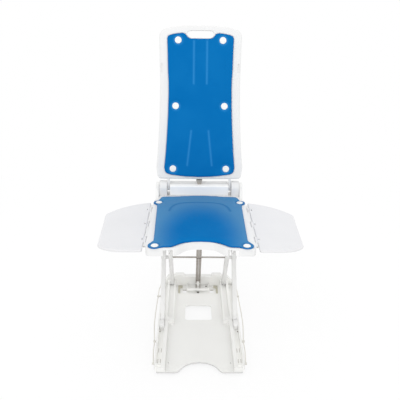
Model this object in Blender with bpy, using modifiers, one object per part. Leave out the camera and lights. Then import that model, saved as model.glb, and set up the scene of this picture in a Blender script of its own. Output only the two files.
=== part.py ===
# Reclining electric floor lift for a bath: a scissor lifts a seat with two side flaps and a backrest.
# Metres, +Z up, front towards -Y, origin under the middle of the bounding box.
# The scissor is drawn at its raised end, where the photograph shows it.

import math

import bmesh
import bpy
from mathutils import Matrix, Vector

PART_COLLECTION = "electric_floor_lift"
CUTTER_COLLECTION = "cutters"

# Scissor: rear foot pivot of the inner arms, and the run and rise from it to their upper end
PIVOT_Y = 0.200
PIVOT_Z = 0.038
SCISSOR_RUN = 0.276
SCISSOR_RISE = 0.402
ARM_LENGTH = math.hypot(SCISSOR_RUN, SCISSOR_RISE)
REST_ANGLE = math.atan2(SCISSOR_RISE, SCISSOR_RUN)
SEAT_PIVOT_Z = PIVOT_Z + SCISSOR_RISE
SLIDE_Y = PIVOT_Y - SCISSOR_RUN
CROSS_Y = PIVOT_Y - SCISSOR_RUN / 2
CROSS_Z = PIVOT_Z + SCISSOR_RISE / 2

# Arms
ARM_DEPTH = 0.022
INNER_ARM_WIDTH = 0.017
OUTER_ARM_WIDTH = 0.018
INNER_ARM_X = 0.1085
OUTER_ARM_X = 0.1365
FOOT_RADIUS = 0.0062
FOOT_REACH = 0.010
SHOE_FRONT = -0.050
SHOE_STEP = -0.0170
SHOE_REAR = 0.016
PIN_RADIUS = 0.0032
PIN_HOLE = 0.0035
SHAFT_RADIUS = 0.0033
SHAFT_HOLE = 0.0036
GAP = 0.0003

# Base
BASE_HALF_WIDTH = 0.162
BASE_FRONT = -0.3636
BASE_REAR = 0.236
BASE_BOTTOM = 0.010
FLOOR_TOP = 0.016
RAIL_TOP = 0.034
RAIL_INNER_FRONT = 0.1225
RAIL_INNER_REAR = 0.100
CHANNEL_FLOOR = 0.018
POCKET_FLOOR = 0.012
REAR_WALL_Y = 0.2125
REAR_WALL_TOP = 0.060
REAR_BLOCK_TOP = 0.068
CUP_RADIUS = 0.036
LUG_RADIUS = 0.0105
FOOT_LUGS = ((0.1005, 0.1070), (0.1269, 0.1345))
OUTER_CHANNEL = (0.1358, 0.1552, -0.3395, CHANNEL_FLOOR)
INNER_CHANNEL = (0.1075, 0.1266, -0.062, 0.026)
POCKET_HALF_WIDTH = 0.0895
POCKET_FRONT = 0.1415
POCKET_REAR = 0.2110
SCREW_HOLE_X = 0.112
SCREW_HOLE_Y = -0.3165
CORD_Z = 0.024
CORD_RADIUS = 0.0016

# Seat
SEAT_TOP = 0.460
SEAT_PLATE = 0.005
SKIRT_BOTTOM = 0.430
SEAT_HALF_WIDTH = 0.188
SEAT_FRONT = -0.288
SEAT_SHOULDER_Y = 0.150
SEAT_REAR_HALF_WIDTH = 0.170
SEAT_REAR = 0.250
WALL = 0.004
BEAM_FRONT = 0.1985
BEAM_REAR = 0.2455
BEAM_TOP = 0.5050
BEAM_LIP_FRONT = 0.2345
BEAM_LIP_TOP = 0.5115
BEAM_HALF_WIDTH = 0.125
EAR_RADIUS = 0.0305
EAR_INNER_X = 0.1370
EAR_OUTER_X = 0.1692
CHEEK_OUTER_X = 0.1838
LUG_INNER_X = 0.1262
LUG_OUTER_X = 0.1352
COVER_EDGE = 0.0045
SEAT_CROWN = 0.0085
SPINDLE_Z = 0.446
SPINDLE_RADIUS = 0.004
YOKE_REACH = 0.078
MOTOR_X = 0.052
MOTOR_Z = 0.4355
MOTOR_RADIUS = 0.0175
MOTOR_COVER_RADIUS = 0.0210
SOCKET_X = -0.10
SOCKET_Z = 0.4425

# Flaps
FLAP_AXIS_X = 0.1945
FLAP_AXIS_Z = 0.4525
FLAP_BOTTOM = 0.4485
FLAP_TOP = 0.4575
FLAP_INNER_X = 0.1988
KNUCKLE_RADIUS = 0.004
FLAP_PIN_RADIUS = 0.0018

# Backrest: its hinge, its lean at rest, and its faces measured from the hinge axis
HINGE_Y = 0.222
HINGE_Z = 0.488
BACK_LEAN = math.radians(11.1)
BACK_FOOT = 0.0398
BACK_FRONT_FACE = -0.0135
BACK_PANEL = 0.005
BACK_REAR_FACE = 0.0115
BACK_CROWN = 0.0075

# Buffer under the middle of the backrest, inside the circle that its lower edge turns on
BUFFER_TOP = 0.5250
BUFFER_FRONT = 0.2160
BUFFER_REAR = 0.2305

# Fasteners that hold the covers
SEAT_CLIP_RADIUS = 0.013
BACK_CLIP_RADIUS = 0.014
CLIP_STEM = 0.004
CLIP_HOLE = 0.0045
CLIP_SEAT = 0.0042

WHITE_ABS = ("white_plastic", (0.86, 0.86, 0.84), 0.42, 0.0)
FLAP_WHITE = ("flap_plastic", (0.80, 0.80, 0.82), 0.45, 0.0)
BASE_WHITE = ("base_plastic", (0.78, 0.78, 0.75), 0.50, 0.0)
BLUE_PAD = ("blue_pad", (0.006, 0.16, 0.48), 0.62, 0.0)
STEEL = ("steel", (0.42, 0.39, 0.36), 0.34, 1.0)
DARK_STEEL = ("dark_steel", (0.20, 0.19, 0.18), 0.45, 1.0)
RUBBER = ("rubber", (0.10, 0.10, 0.11), 0.75, 0.0)
CORD_WHITE = ("cord_white", (0.72, 0.70, 0.62), 0.70, 0.0)
TAN_PLASTIC = ("tan_plastic", (0.46, 0.40, 0.32), 0.55, 0.0)
GREY_PLASTIC = ("grey_plastic", (0.30, 0.31, 0.33), 0.50, 0.0)
BRASS = ("brass", (0.62, 0.47, 0.22), 0.35, 1.0)


# Scene, materials and collections

def clear_scene():
    for item in list(bpy.data.objects):
        bpy.data.objects.remove(item, do_unlink=True)


def make_collection(name):
    collection = bpy.data.collections.new(name)
    bpy.context.scene.collection.children.link(collection)
    return collection


def material(finish):
    name, colour, roughness, metallic = finish
    found = bpy.data.materials.get(name)
    if found:
        return found
    made = bpy.data.materials.new(name)
    made.use_nodes = True
    shader = made.node_tree.nodes["Principled BSDF"]
    shader.inputs["Base Color"].default_value = (*colour, 1.0)
    shader.inputs["Roughness"].default_value = roughness
    shader.inputs["Metallic"].default_value = metallic
    made.diffuse_color = (*colour, 1.0)
    return made


def move_to(item, collection):
    for owner in list(item.users_collection):
        owner.objects.unlink(item)
    collection.objects.link(item)


def finish_part(item, name, finish, parent=None):
    """Names a piece, gives it its material and hangs it on its parent empty."""
    item.name = name
    item.data.name = name
    item.data.materials.clear()
    item.data.materials.append(material(finish))
    item.parent = parent
    move_to(item, bpy.data.collections[PART_COLLECTION])
    return item


def finish_cutter(item, parent=None):
    item.parent = parent
    item.hide_render = True
    item.display_type = "WIRE"
    move_to(item, bpy.data.collections[CUTTER_COLLECTION])
    return item


def make_empty(name, place, turn=(0.0, 0.0, 0.0), parent=None):
    """An empty that stands on a joint's axis."""
    empty = bpy.data.objects.new(name, None)
    empty.location = place
    empty.rotation_euler = turn
    empty.empty_display_size = 0.03
    empty.parent = parent
    bpy.data.collections[PART_COLLECTION].objects.link(empty)
    return empty


def combine(item, tool, operation):
    step = item.modifiers.new(operation.lower(), "BOOLEAN")
    step.operation = operation
    step.solver = "EXACT"
    step.object = tool


def cut(item, tool, parent=None):
    finish_cutter(tool, parent)
    combine(item, tool, "DIFFERENCE")


def join(item, tool, parent=None):
    finish_cutter(tool, parent)
    combine(item, tool, "UNION")


# Basic solids

def box(low, high):
    """A box between two corners, with its scale applied."""
    low = Vector(low)
    high = Vector(high)
    bpy.ops.mesh.primitive_cube_add(size=1.0)
    item = bpy.context.object
    size = high - low
    middle = (high + low) / 2
    item.data.transform(Matrix.Translation(middle) @ Matrix.Diagonal((*size, 1.0)))
    return item


AXIS_TURN = {
    "X": Matrix.Rotation(math.pi / 2, 4, "Y"),
    "Y": Matrix.Rotation(math.pi / 2, 4, "X"),
    "Z": Matrix.Identity(4),
}


def rod(middle, axis, radius, length, sides=16):
    """A round bar centred on a point, along X, Y or Z."""
    bpy.ops.mesh.primitive_cylinder_add(vertices=sides, radius=radius, depth=length)
    item = bpy.context.object
    item.data.transform(Matrix.Translation(middle) @ AXIS_TURN[axis])
    item.data.shade_smooth()
    item.data.set_sharp_from_angle(angle=math.radians(40))
    return item


def rod_x(start, end, y, z, radius, sides=16):
    return rod(((start + end) / 2, y, z), "X", radius, end - start, sides)


def extrude_outline(outline, low, high, plane):
    """A flat outline given thickness. XY is seen from above, YZ from the side, XZ from the front."""
    curve = bpy.data.curves.new("outline", "CURVE")
    curve.dimensions = "2D"
    curve.fill_mode = "BOTH"
    curve.extrude = (high - low) / 2
    spline = curve.splines.new("POLY")
    spline.points.add(len(outline) - 1)
    for point, (u, v) in zip(spline.points, outline):
        point.co = (u, v, 0.0, 1.0)
    spline.use_cyclic_u = True
    guide = bpy.data.objects.new("outline", curve)
    bpy.context.scene.collection.objects.link(guide)
    item = curve_to_mesh(guide)
    item.data.transform(Matrix.Translation((0.0, 0.0, (low + high) / 2)))
    if plane == "YZ":
        item.data.transform(Matrix(((0, 0, 1, 0), (1, 0, 0, 0), (0, 1, 0, 0), (0, 0, 0, 1))))
    if plane == "XZ":
        item.data.transform(Matrix(((1, 0, 0, 0), (0, 0, -1, 0), (0, 1, 0, 0), (0, 0, 0, 1))))
    return item


def curve_to_mesh(guide):
    """Turns a curve object into a mesh object whose caps are welded on."""
    bpy.context.view_layer.update()
    evaluated = guide.evaluated_get(bpy.context.evaluated_depsgraph_get())
    mesh = bpy.data.meshes.new_from_object(evaluated)
    shape = bmesh.new()
    shape.from_mesh(mesh)
    bmesh.ops.remove_doubles(shape, verts=shape.verts, dist=1e-6)
    bmesh.ops.recalc_face_normals(shape, faces=shape.faces)
    shape.to_mesh(mesh)
    shape.free()
    item = bpy.data.objects.new("solid", mesh)
    item.matrix_world = guide.matrix_world
    bpy.context.scene.collection.objects.link(item)
    bpy.data.objects.remove(guide, do_unlink=True)
    return item


def tube(points, radius, resolution=1):
    """A round tube with filled caps along a list of points, as a mesh."""
    curve = bpy.data.curves.new("tube", "CURVE")
    curve.dimensions = "3D"
    curve.bevel_depth = radius
    curve.bevel_resolution = resolution
    curve.use_fill_caps = True
    spline = curve.splines.new("POLY")
    spline.points.add(len(points) - 1)
    for point, place in zip(spline.points, points):
        point.co = (*place, 1.0)
    guide = bpy.data.objects.new("tube", curve)
    bpy.context.scene.collection.objects.link(guide)
    return curve_to_mesh(guide)


def turned(profile, place, axis="Z", steps=20):
    """A turned shape: a profile of (radius, height) pairs from its top down, spun about an axis."""
    mesh = bpy.data.meshes.new("profile")
    verts = [(radius, 0.0, height) for radius, height in profile]
    edges = [(n, n + 1) for n in range(len(verts) - 1)]
    mesh.from_pydata(verts, edges, [])
    item = bpy.data.objects.new("turned", mesh)
    bpy.context.scene.collection.objects.link(item)
    screw = item.modifiers.new("turn", "SCREW")
    screw.axis = "Z"
    screw.steps = steps
    screw.render_steps = steps
    screw.use_merge_vertices = True
    screw.merge_threshold = 0.00001
    screw.use_smooth_shade = True
    item.location = place
    if axis == "-Y":
        item.rotation_euler = (math.pi / 2, 0.0, 0.0)
    if axis == "Y":
        item.rotation_euler = (-math.pi / 2, 0.0, 0.0)
    return item


# Outlines

def arc(centre, radius, start, end, steps):
    """Points along an arc, with angles in degrees."""
    points = []
    for n in range(steps + 1):
        angle = math.radians(start + (end - start) * n / steps)
        points.append((centre[0] + radius * math.cos(angle), centre[1] + radius * math.sin(angle)))
    return points


def rounded_rectangle(low, high, radius, steps=4):
    left, bottom = low
    right, top = high
    points = arc((right - radius, top - radius), radius, 0, 90, steps)
    points += arc((left + radius, top - radius), radius, 90, 180, steps)
    points += arc((left + radius, bottom + radius), radius, 180, 270, steps)
    points += arc((right - radius, bottom + radius), radius, 270, 360, steps)
    return points


def bar_outline(start, end, half, steps=8):
    """A bar along Y with round ends centred on start and end."""
    return arc((end, 0.0), half, -90, 90, steps) + arc((start, 0.0), half, 90, 270, steps)


def ear_outline(centre, radius, foot, front, rear, steps=10):
    """A side view of an ear: a round top on a straight foot."""
    points = arc(centre, radius, 0, 180, steps)
    points += [(front, foot), (rear, foot)]
    return points


def smooth(points, per_span):
    """A Catmull-Rom curve through open points, of two or more coordinates."""
    points = [Vector(p) for p in points]
    padded = [2 * points[0] - points[1]] + points + [2 * points[-1] - points[-2]]
    made = []
    for n in range(1, len(padded) - 2):
        a, b, c, d = padded[n - 1:n + 3]
        for k in range(per_span):
            t = k / per_span
            value = 2 * b + (c - a) * t
            value += (2 * a - 5 * b + 4 * c - d) * t * t
            value += (3 * b - a - 3 * c + d) * t * t * t
            made.append(tuple(value / 2))
    made.append(tuple(points[-1]))
    return made


def mirrored(half):
    """Closes a right-hand half outline, listed from the middle round to the middle."""
    left = [(-x, y) for x, y in reversed(half) if abs(x) > 1e-6]
    return half + left


# Base

def base_outline():
    half = [(0.0, -0.3117)]
    half += smooth([(0.030, -0.3168), (0.0515, -0.329), (0.0647, -0.345), (0.073, -0.357)], 2)
    half += [(0.081, BASE_FRONT)]
    half += smooth([(0.1495, BASE_FRONT), (0.1535, -0.3600), (0.1595, -0.3450), (BASE_HALF_WIDTH, -0.3330)], 2)
    half += [(BASE_HALF_WIDTH, BASE_REAR - 0.008), (BASE_HALF_WIDTH - 0.004, BASE_REAR), (0.0, BASE_REAR)]
    return mirrored(half)


def rear_wall_outline():
    """Front view of the raised wall at the rear, with its two higher blocks."""
    foot = FLOOR_TOP - 0.003
    half = [(0.0, foot), (0.1530, foot), (0.1530, RAIL_TOP + 0.001), (0.1500, 0.0390)]
    half += [(0.134, REAR_WALL_TOP), (0.108, REAR_WALL_TOP)]
    half += [(0.102, REAR_BLOCK_TOP), (0.066, REAR_BLOCK_TOP), (0.060, REAR_WALL_TOP)]
    half += [(0.0, REAR_WALL_TOP)]
    return mirrored(half)


def make_base(root):
    base = extrude_outline(base_outline(), BASE_BOTTOM, RAIL_TOP, "XY")
    finish_part(base, "base_plate", BASE_WHITE, root)
    tall = RAIL_TOP + 0.01
    front_well = rounded_rectangle((-RAIL_INNER_FRONT, -0.40), (RAIL_INNER_FRONT, -0.085), 0.006, 3)
    rear_well = rounded_rectangle((-RAIL_INNER_REAR, -0.12), (RAIL_INNER_REAR, REAR_WALL_Y), 0.006, 3)
    cut(base, extrude_outline(front_well, FLOOR_TOP, tall, "XY"), root)
    cut(base, extrude_outline(rear_well, FLOOR_TOP, tall, "XY"), root)
    for side in (-1, 1):
        cut_rail_channels(base, root, side, tall)
    wall = extrude_outline(rear_wall_outline(), -BASE_REAR + 0.0005, -REAR_WALL_Y + 0.0008, "XZ")
    join(base, wall, root)
    lug = ear_outline((PIVOT_Y, PIVOT_Z), LUG_RADIUS, FLOOR_TOP + 0.004,
                      PIVOT_Y - LUG_RADIUS, PIVOT_Y + LUG_RADIUS)
    for side in (-1, 1):
        for low, high in FOOT_LUGS:
            x_low, x_high = sorted((side * low, side * high))
            join(base, extrude_outline(lug, x_low, x_high, "YZ"), root)
    hole = rounded_rectangle((-0.0555, -0.0570), (0.0545, 0.0495), 0.008)
    cut(base, extrude_outline(hole, 0.0, tall, "XY"), root)
    cut_pocket(base, root, tall)
    for side in (-1, 1):
        x_low, x_high = sorted((side * 0.095, side * 0.1350))
        cut(base, rod_x(x_low, x_high, PIVOT_Y, PIVOT_Z, PIN_HOLE), root)
        cut(base, rod((side * SCREW_HOLE_X, SCREW_HOLE_Y, FLOOR_TOP), "Z", 0.0028, 0.007, 12), root)
    for x, y in cup_places():
        cut(base, rod((x, y, 0.0115), "Z", 0.0063, 0.0052, 16), root)
    return base


def cut_rail_channels(base, root, side, tall):
    """The two grooves of a side rail, where the arms lie when the seat is down."""
    for low, high, front, depth in (OUTER_CHANNEL, INNER_CHANNEL):
        x_low, x_high = sorted((side * low, side * high))
        groove = rounded_rectangle((x_low, front), (x_high, REAR_WALL_Y), 0.004, 2)
        cut(base, extrude_outline(groove, depth, tall, "XY"), root)
    x_low, x_high = sorted((side * 0.1365, side * 0.1500))
    recess = rounded_rectangle((x_low, -0.3585), (x_high, -0.3435), 0.003, 2)
    cut(base, extrude_outline(recess, RAIL_TOP - 0.004, tall, "XY"), root)


def cut_pocket(base, root, tall):
    """The pocket in front of the rear wall, and the two slots right through its floor."""
    front_left = (-POCKET_HALF_WIDTH, POCKET_FRONT)
    pocket = rounded_rectangle(front_left, (POCKET_HALF_WIDTH, POCKET_REAR), 0.004)
    cut(base, extrude_outline(pocket, POCKET_FLOOR, tall, "XY"), root)
    for side in (-1, 1):
        low, high = sorted((side * 0.0525, side * 0.0690))
        slot = rounded_rectangle((low, 0.1530), (high, 0.1720), 0.004)
        cut(base, extrude_outline(slot, 0.0, tall, "XY"), root)


def cup_places():
    return [(side * 0.105, y) for y in (-0.300, 0.165) for side in (-1, 1)]


def make_cups(root):
    names = ("front_left", "front_right", "rear_left", "rear_right")
    profile = [(0.0, 0.0138), (0.0058, 0.0138), (0.0060, 0.0134), (0.0060, 0.0097), (0.016, 0.0097)]
    profile += [(0.028, 0.0070), (CUP_RADIUS, 0.0012), (CUP_RADIUS, 0.0), (0.0345, 0.0), (0.026, 0.0034)]
    profile += [(0.012, 0.0052), (0.0, 0.0056)]
    for name, (x, y) in zip(names, cup_places()):
        cup = turned(profile, (x, y, 0.0), "Z", 16)
        finish_part(cup, "suction_cup_" + name, RUBBER, root)


def make_lever_bracket(root):
    """The bracket in the pocket that the centre lever stands on."""
    foot = POCKET_FLOOR + GAP
    bracket = box((-0.0495, 0.1865, foot), (0.0495, 0.2100, foot + 0.005))
    finish_part(bracket, "lever_bracket", WHITE_ABS, root)
    for side in (-1, 1):
        low, high = sorted((side * 0.0465, side * 0.0495))
        cheek = [(0.158, foot), (0.2100, foot), (0.2100, 0.026), (0.198, 0.034)]
        cheek += [(0.166, 0.034), (0.158, 0.028)]
        join(bracket, extrude_outline(cheek, low, high, "YZ"), root)
    join(bracket, box((-0.048, 0.158, 0.0195), (0.048, 0.165, 0.0285)), root)
    join(bracket, box((-0.0062, 0.161, 0.0195), (0.0062, 0.190, 0.0235)), root)
    tongue = ear_outline((PIVOT_Y, PIVOT_Z), 0.0095, foot + 0.002, PIVOT_Y - 0.0095, PIVOT_Y + 0.0095)
    join(bracket, extrude_outline(tongue, -0.0062, 0.0062, "YZ"), root)
    cut(bracket, rod_x(-0.02, 0.02, PIVOT_Y, PIVOT_Z, PIN_HOLE), root)
    pin = rod_x(-0.0108, 0.0108, PIVOT_Y, PIVOT_Z, PIN_RADIUS)
    finish_part(pin, "lever_foot_pin", STEEL, root)


def make_inner_foot_pins(root):
    for side, word in ((-1, "left"), (1, "right")):
        low, high = sorted((side * 0.1003, side * 0.1343))
        pin = rod_x(low, high, PIVOT_Y, PIVOT_Z, PIN_RADIUS)
        finish_part(pin, "inner_foot_pin_" + word, STEEL, root)


def cord_route(side):
    """The release cord from its rear knob, bowing out along the base, to its front knob."""
    points = [(0.1655, 0.195, 0.0240), (0.1735, 0.165, 0.0225), (0.1745, 0.105, 0.0240)]
    points += [(0.1765, 0.050, 0.0215), (0.1780, -0.020, 0.0200), (0.1775, -0.090, 0.0205)]
    points += [(0.1735, -0.150, 0.0220)]
    points += [(0.1690, -0.205, 0.0240), (0.1695, -0.260, 0.0220), (0.1650, -0.330, 0.0240)]
    return [(side * x, y, z) for x, y, z in smooth(points, 3)]


def make_release_cords(root):
    for side, word in ((-1, "left"), (1, "right")):
        cord = tube(cord_route(side), CORD_RADIUS)
        finish_part(cord, "release_cord_" + word, CORD_WHITE, root)
        for x, y in ((0.1655, 0.195), (0.1745, 0.105), (0.1690, -0.205), (0.1650, -0.330)):
            low, high = sorted((side * (BASE_HALF_WIDTH + GAP), side * (x + 0.004)))
            join(cord, rod_x(low, high, y, CORD_Z, 0.0045, 12), root)


# Arms and the parts that ride on them

def make_inner_frame(inner):
    """Inner arms, cross shaft and centre lever. They lie along -Y of the empty on their foot pivot."""
    half_way = -ARM_LENGTH / 2
    for side, word in ((-1, "left"), (1, "right")):
        low, high = sorted((side * INNER_ARM_X, side * (INNER_ARM_X + INNER_ARM_WIDTH)))
        outline = bar_outline(-ARM_LENGTH, 0.0, ARM_DEPTH / 2)
        arm = extrude_outline(outline, low, high, "YZ")
        finish_part(arm, "inner_arm_" + word, WHITE_ABS, inner)
        for y in (0.0, half_way, -ARM_LENGTH):
            hole = SHAFT_HOLE if y == half_way else PIN_HOLE
            cut(arm, rod_x(low - 0.01, high + 0.01, y, 0.0, hole), inner)
        cut_arm_recesses(arm, inner, side * INNER_ARM_X, side, half_way)
        top_low, top_high = sorted((side * 0.0958, side * (INNER_ARM_X + INNER_ARM_WIDTH - GAP)))
        pin = rod_x(top_low, top_high, -ARM_LENGTH, 0.0, PIN_RADIUS)
        finish_part(pin, "inner_top_pin_" + word, STEEL, inner)
    end = OUTER_ARM_X + OUTER_ARM_WIDTH + GAP
    shaft = rod_x(-end, end, half_way, 0.0, SHAFT_RADIUS)
    finish_part(shaft, "cross_shaft", STEEL, inner)
    for side in (-1, 1):
        low, high = sorted((side * (end - 0.0002), side * (end + 0.003)))
        join(shaft, rod_x(low, high, half_way, 0.0, 0.0062), inner)
    make_lever(inner, half_way)


def cut_arm_recesses(arm, parent, face, side, crossing):
    """Long shallow troughs on an arm's inner side, either side of the crossing."""
    depth = 0.0035
    reach = ARM_LENGTH / 2 - 0.032
    low, high = sorted((face - side * 0.002, face + side * depth))
    for start, end in ((crossing - reach, crossing - 0.020), (crossing + 0.020, crossing + reach)):
        trough = rounded_rectangle((start, -0.0065), (end, 0.0065), 0.004, 3)
        cut(arm, extrude_outline(trough, low, high, "YZ"), parent)


def make_lever(inner, half_way):
    """Two flat steel bars pinned to the base bracket. The cross shaft lies in a notch of each."""
    reach = -0.360
    top_pin_y = reach + 0.008
    for side, word in ((-1, "left"), (1, "right")):
        low, high = sorted((side * 0.0007, side * 0.0108))
        bar = extrude_outline(bar_outline(reach, 0.0, 0.0055), low, high, "YZ")
        finish_part(bar, "lever_bar_" + word, STEEL, inner)
        cut(bar, rod_x(low - 0.01, high + 0.01, 0.0, 0.0, PIN_HOLE), inner)
        foot_low, foot_high = sorted((side * 0.0001, side * 0.0067))
        cut(bar, box((foot_low, -0.020, -0.02), (foot_high, 0.02, 0.02)), inner)
        cut(bar, rod_x(low - 0.01, high + 0.01, half_way, 0.0, SHAFT_HOLE), inner)
        mouth = SHAFT_HOLE - 0.0001
        cut(bar, box((low - 0.01, half_way - mouth, -0.012), (high + 0.01, half_way + mouth, 0.0)), inner)
        cut(bar, rod_x(low - 0.01, high + 0.01, top_pin_y, 0.0, 0.0027, 16), inner)
    pin = rod_x(-0.0108, 0.0108, top_pin_y, 0.0, 0.0024, 16)
    finish_part(pin, "lever_top_pin", STEEL, inner)


def outer_arm_outline():
    """An outer arm from the side: full depth at the seat end and a slim foot."""
    half = ARM_LENGTH / 2
    deep = ARM_DEPTH / 2
    points = arc((half, 0.0), deep, -90, 90, 8)
    points += [(0.050 - half, deep), (0.024 - half, FOOT_RADIUS)]
    points += arc((-half - FOOT_REACH, 0.0), FOOT_RADIUS, 90, 270, 8)
    points += [(0.024 - half, -FOOT_RADIUS), (0.050 - half, -deep)]
    return points


def make_outer_frame(outer):
    """Outer arms, turned about the crossing. +Y is the seat end and -Y the foot."""
    half = ARM_LENGTH / 2
    for side, word in ((-1, "left"), (1, "right")):
        low, high = sorted((side * OUTER_ARM_X, side * (OUTER_ARM_X + OUTER_ARM_WIDTH)))
        arm = extrude_outline(outer_arm_outline(), low, high, "YZ")
        finish_part(arm, "outer_arm_" + word, WHITE_ABS, outer)
        for edge_low, edge_high in ((0.130, 0.1391), (0.1519, 0.160)):
            slab_low, slab_high = sorted((side * edge_low, side * edge_high))
            cut(arm, box((slab_low, -half - 0.04, -0.03), (slab_high, -half + 0.022, 0.03)), outer)
        cut(arm, rod_x(low - 0.01, high + 0.01, half, 0.0, 0.0054), outer)
        cut(arm, rod_x(low - 0.01, high + 0.01, 0.0, 0.0, SHAFT_HOLE), outer)
        cut(arm, rod_x(low - 0.01, high + 0.01, -half, 0.0, PIN_HOLE), outer)
        cut_arm_recesses(arm, outer, side * OUTER_ARM_X, side, 0.0)
        ring_start = INNER_ARM_X + INNER_ARM_WIDTH + GAP
        ring_low, ring_high = sorted((side * ring_start, side * (OUTER_ARM_X - GAP)))
        spacer = rod_x(ring_low, ring_high, 0.0, 0.0, 0.008, 24)
        finish_part(spacer, "arm_spacer_" + word, WHITE_ABS, outer)
        cut(spacer, rod_x(ring_low - 0.01, ring_high + 0.01, 0.0, 0.0, SHAFT_HOLE), outer)
        pin_low, pin_high = sorted((side * 0.1370, side * 0.1540))
        pin = rod_x(pin_low, pin_high, -half, 0.0, PIN_RADIUS)
        finish_part(pin, "outer_foot_pin_" + word, STEEL, outer)


def make_foot_sliders(slide):
    """Shoes that run in the base channels: a fork round the arm's foot and a block in front of it."""
    bottom = CHANNEL_FLOOR + GAP - PIVOT_Z
    step = bottom + 0.0035
    outline = [(SHOE_REAR, bottom), (SHOE_REAR, step), (SHOE_STEP, step), (SHOE_STEP, 0.0045)]
    outline += arc((SHOE_FRONT + 0.009, -0.0045), 0.009, 90, 180, 4)
    outline += [(SHOE_FRONT, bottom)]
    for side, word in ((-1, "left"), (1, "right")):
        low, high = sorted((side * 0.1367, side * 0.1543))
        shoe = extrude_outline(outline, low, high, "YZ")
        finish_part(shoe, "foot_slider_" + word, WHITE_ABS, slide)
        for x_low, x_high in ((0.1367, 0.1388), (0.1522, 0.1543)):
            cheek = ear_outline((0.0, 0.0), FOOT_RADIUS, bottom + 0.002, -FOOT_RADIUS, FOOT_RADIUS, 8)
            a, b = sorted((side * x_low, side * x_high))
            join(shoe, extrude_outline(cheek, a, b, "YZ"), slide)
        cut(shoe, rod_x(low - 0.01, high + 0.01, 0.0, 0.0, PIN_HOLE), slide)


def make_carriage(carriage):
    """The yoke that the spindle pushes: two slide blocks, two side arms and a cross beam."""
    beam_low = YOKE_REACH - 0.008
    beam_high = YOKE_REACH + 0.008
    yoke = box((-0.1045, beam_low, -0.0035), (0.1045, beam_high, 0.0065))
    finish_part(yoke, "drive_carriage", GREY_PLASTIC, carriage)
    for side in (-1, 1):
        low, high = sorted((side * 0.0945, side * 0.1045))
        join(yoke, box((low, 0.0, -0.0035), (high, beam_high - 0.001, 0.0065)), carriage)
        join(yoke, box((low, -0.013, -0.0065), (high, 0.013, 0.0145)), carriage)
        cut(yoke, rod_x(low - 0.0005, high + 0.002, 0.0, 0.0, PIN_HOLE), carriage)
    axis = SPINDLE_Z - SEAT_PIVOT_Z
    join(yoke, box((-0.011, beam_low + 0.0005, -0.003), (0.011, beam_high - 0.0005, axis + 0.0082)), carriage)
    cut(yoke, rod((0.0, YOKE_REACH, axis), "Y", 0.0070, 0.030, 24), carriage)
    nut = rod((0.0, YOKE_REACH, axis), "Y", 0.0067, 0.0164, 24)
    finish_part(nut, "spindle_nut", BRASS, carriage)
    cut(nut, rod((0.0, YOKE_REACH, axis), "Y", SPINDLE_RADIUS + GAP, 0.040, 20), carriage)


# Seat

def seat_outline(inset=0.0):
    """The seat from above: a wide front with a hollow middle and a narrower rear."""
    wide = SEAT_HALF_WIDTH - inset
    narrow = SEAT_REAR_HALF_WIDTH - inset
    front = SEAT_FRONT + inset
    rear = SEAT_REAR - inset
    half = [(0.0, -0.2385 + inset)]
    half += smooth([(0.026, -0.2405 + inset), (0.048, -0.2475 + inset), (0.064, -0.262 + inset),
                    (0.078, -0.279 + inset), (0.094, front)], 3)
    half += arc((wide - 0.014, front + 0.014), 0.014, -90, 0, 4)
    half += arc((wide - 0.008, SEAT_SHOULDER_Y - 0.008 - inset), 0.008, 0, 90, 3)
    half += [(narrow, SEAT_SHOULDER_Y - inset)]
    half += arc((narrow - 0.010, rear - 0.010), 0.010, 0, 90, 3)
    half += [(0.0, rear)]
    return mirrored(half)


def make_seat_plate(seat):
    plate = extrude_outline(seat_outline(), SKIRT_BOTTOM, SEAT_TOP, "XY")
    finish_part(plate, "seat_plate", WHITE_ABS, seat)
    under = SEAT_TOP - SEAT_PLATE
    cut(plate, extrude_outline(seat_outline(WALL), SKIRT_BOTTOM - 0.01, under, "XY"), seat)
    for side in (-1, 1):
        add_seat_side(plate, seat, side, under)
    cut(plate, rod((SOCKET_X, SEAT_REAR, SOCKET_Z), "Y", 0.0083, 0.030, 20), seat)
    for x, y in seat_clip_places():
        cut(plate, rod((x, y, SEAT_TOP), "Z", CLIP_HOLE, 0.030, 16), seat)
    return plate


def make_rear_beam(seat):
    """The hollow beam between the hinges, which stands on the plate."""
    foot = SEAT_TOP + GAP
    beam = extrude_outline(beam_outline(foot), -BEAM_HALF_WIDTH, BEAM_HALF_WIDTH, "YZ")
    finish_part(beam, "rear_beam", WHITE_ABS, seat)
    inside = BEAM_HALF_WIDTH - WALL
    cut(beam, box((-inside, BEAM_FRONT + WALL, 0.44), (inside, BEAM_REAR - WALL, BEAM_TOP - WALL)), seat)


def beam_outline(foot):
    """Side view of the raised beam between the hinges, with a lip along its rear edge."""
    points = [(BEAM_REAR, foot)]
    points += arc((BEAM_REAR - 0.004, BEAM_LIP_TOP - 0.004), 0.004, 0, 90, 3)
    points += [(BEAM_LIP_FRONT + 0.002, BEAM_LIP_TOP), (BEAM_LIP_FRONT, BEAM_TOP)]
    points += arc((BEAM_FRONT + 0.007, BEAM_TOP - 0.007), 0.007, 90, 180, 3)
    points += [(BEAM_FRONT, foot)]
    return points


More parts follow.
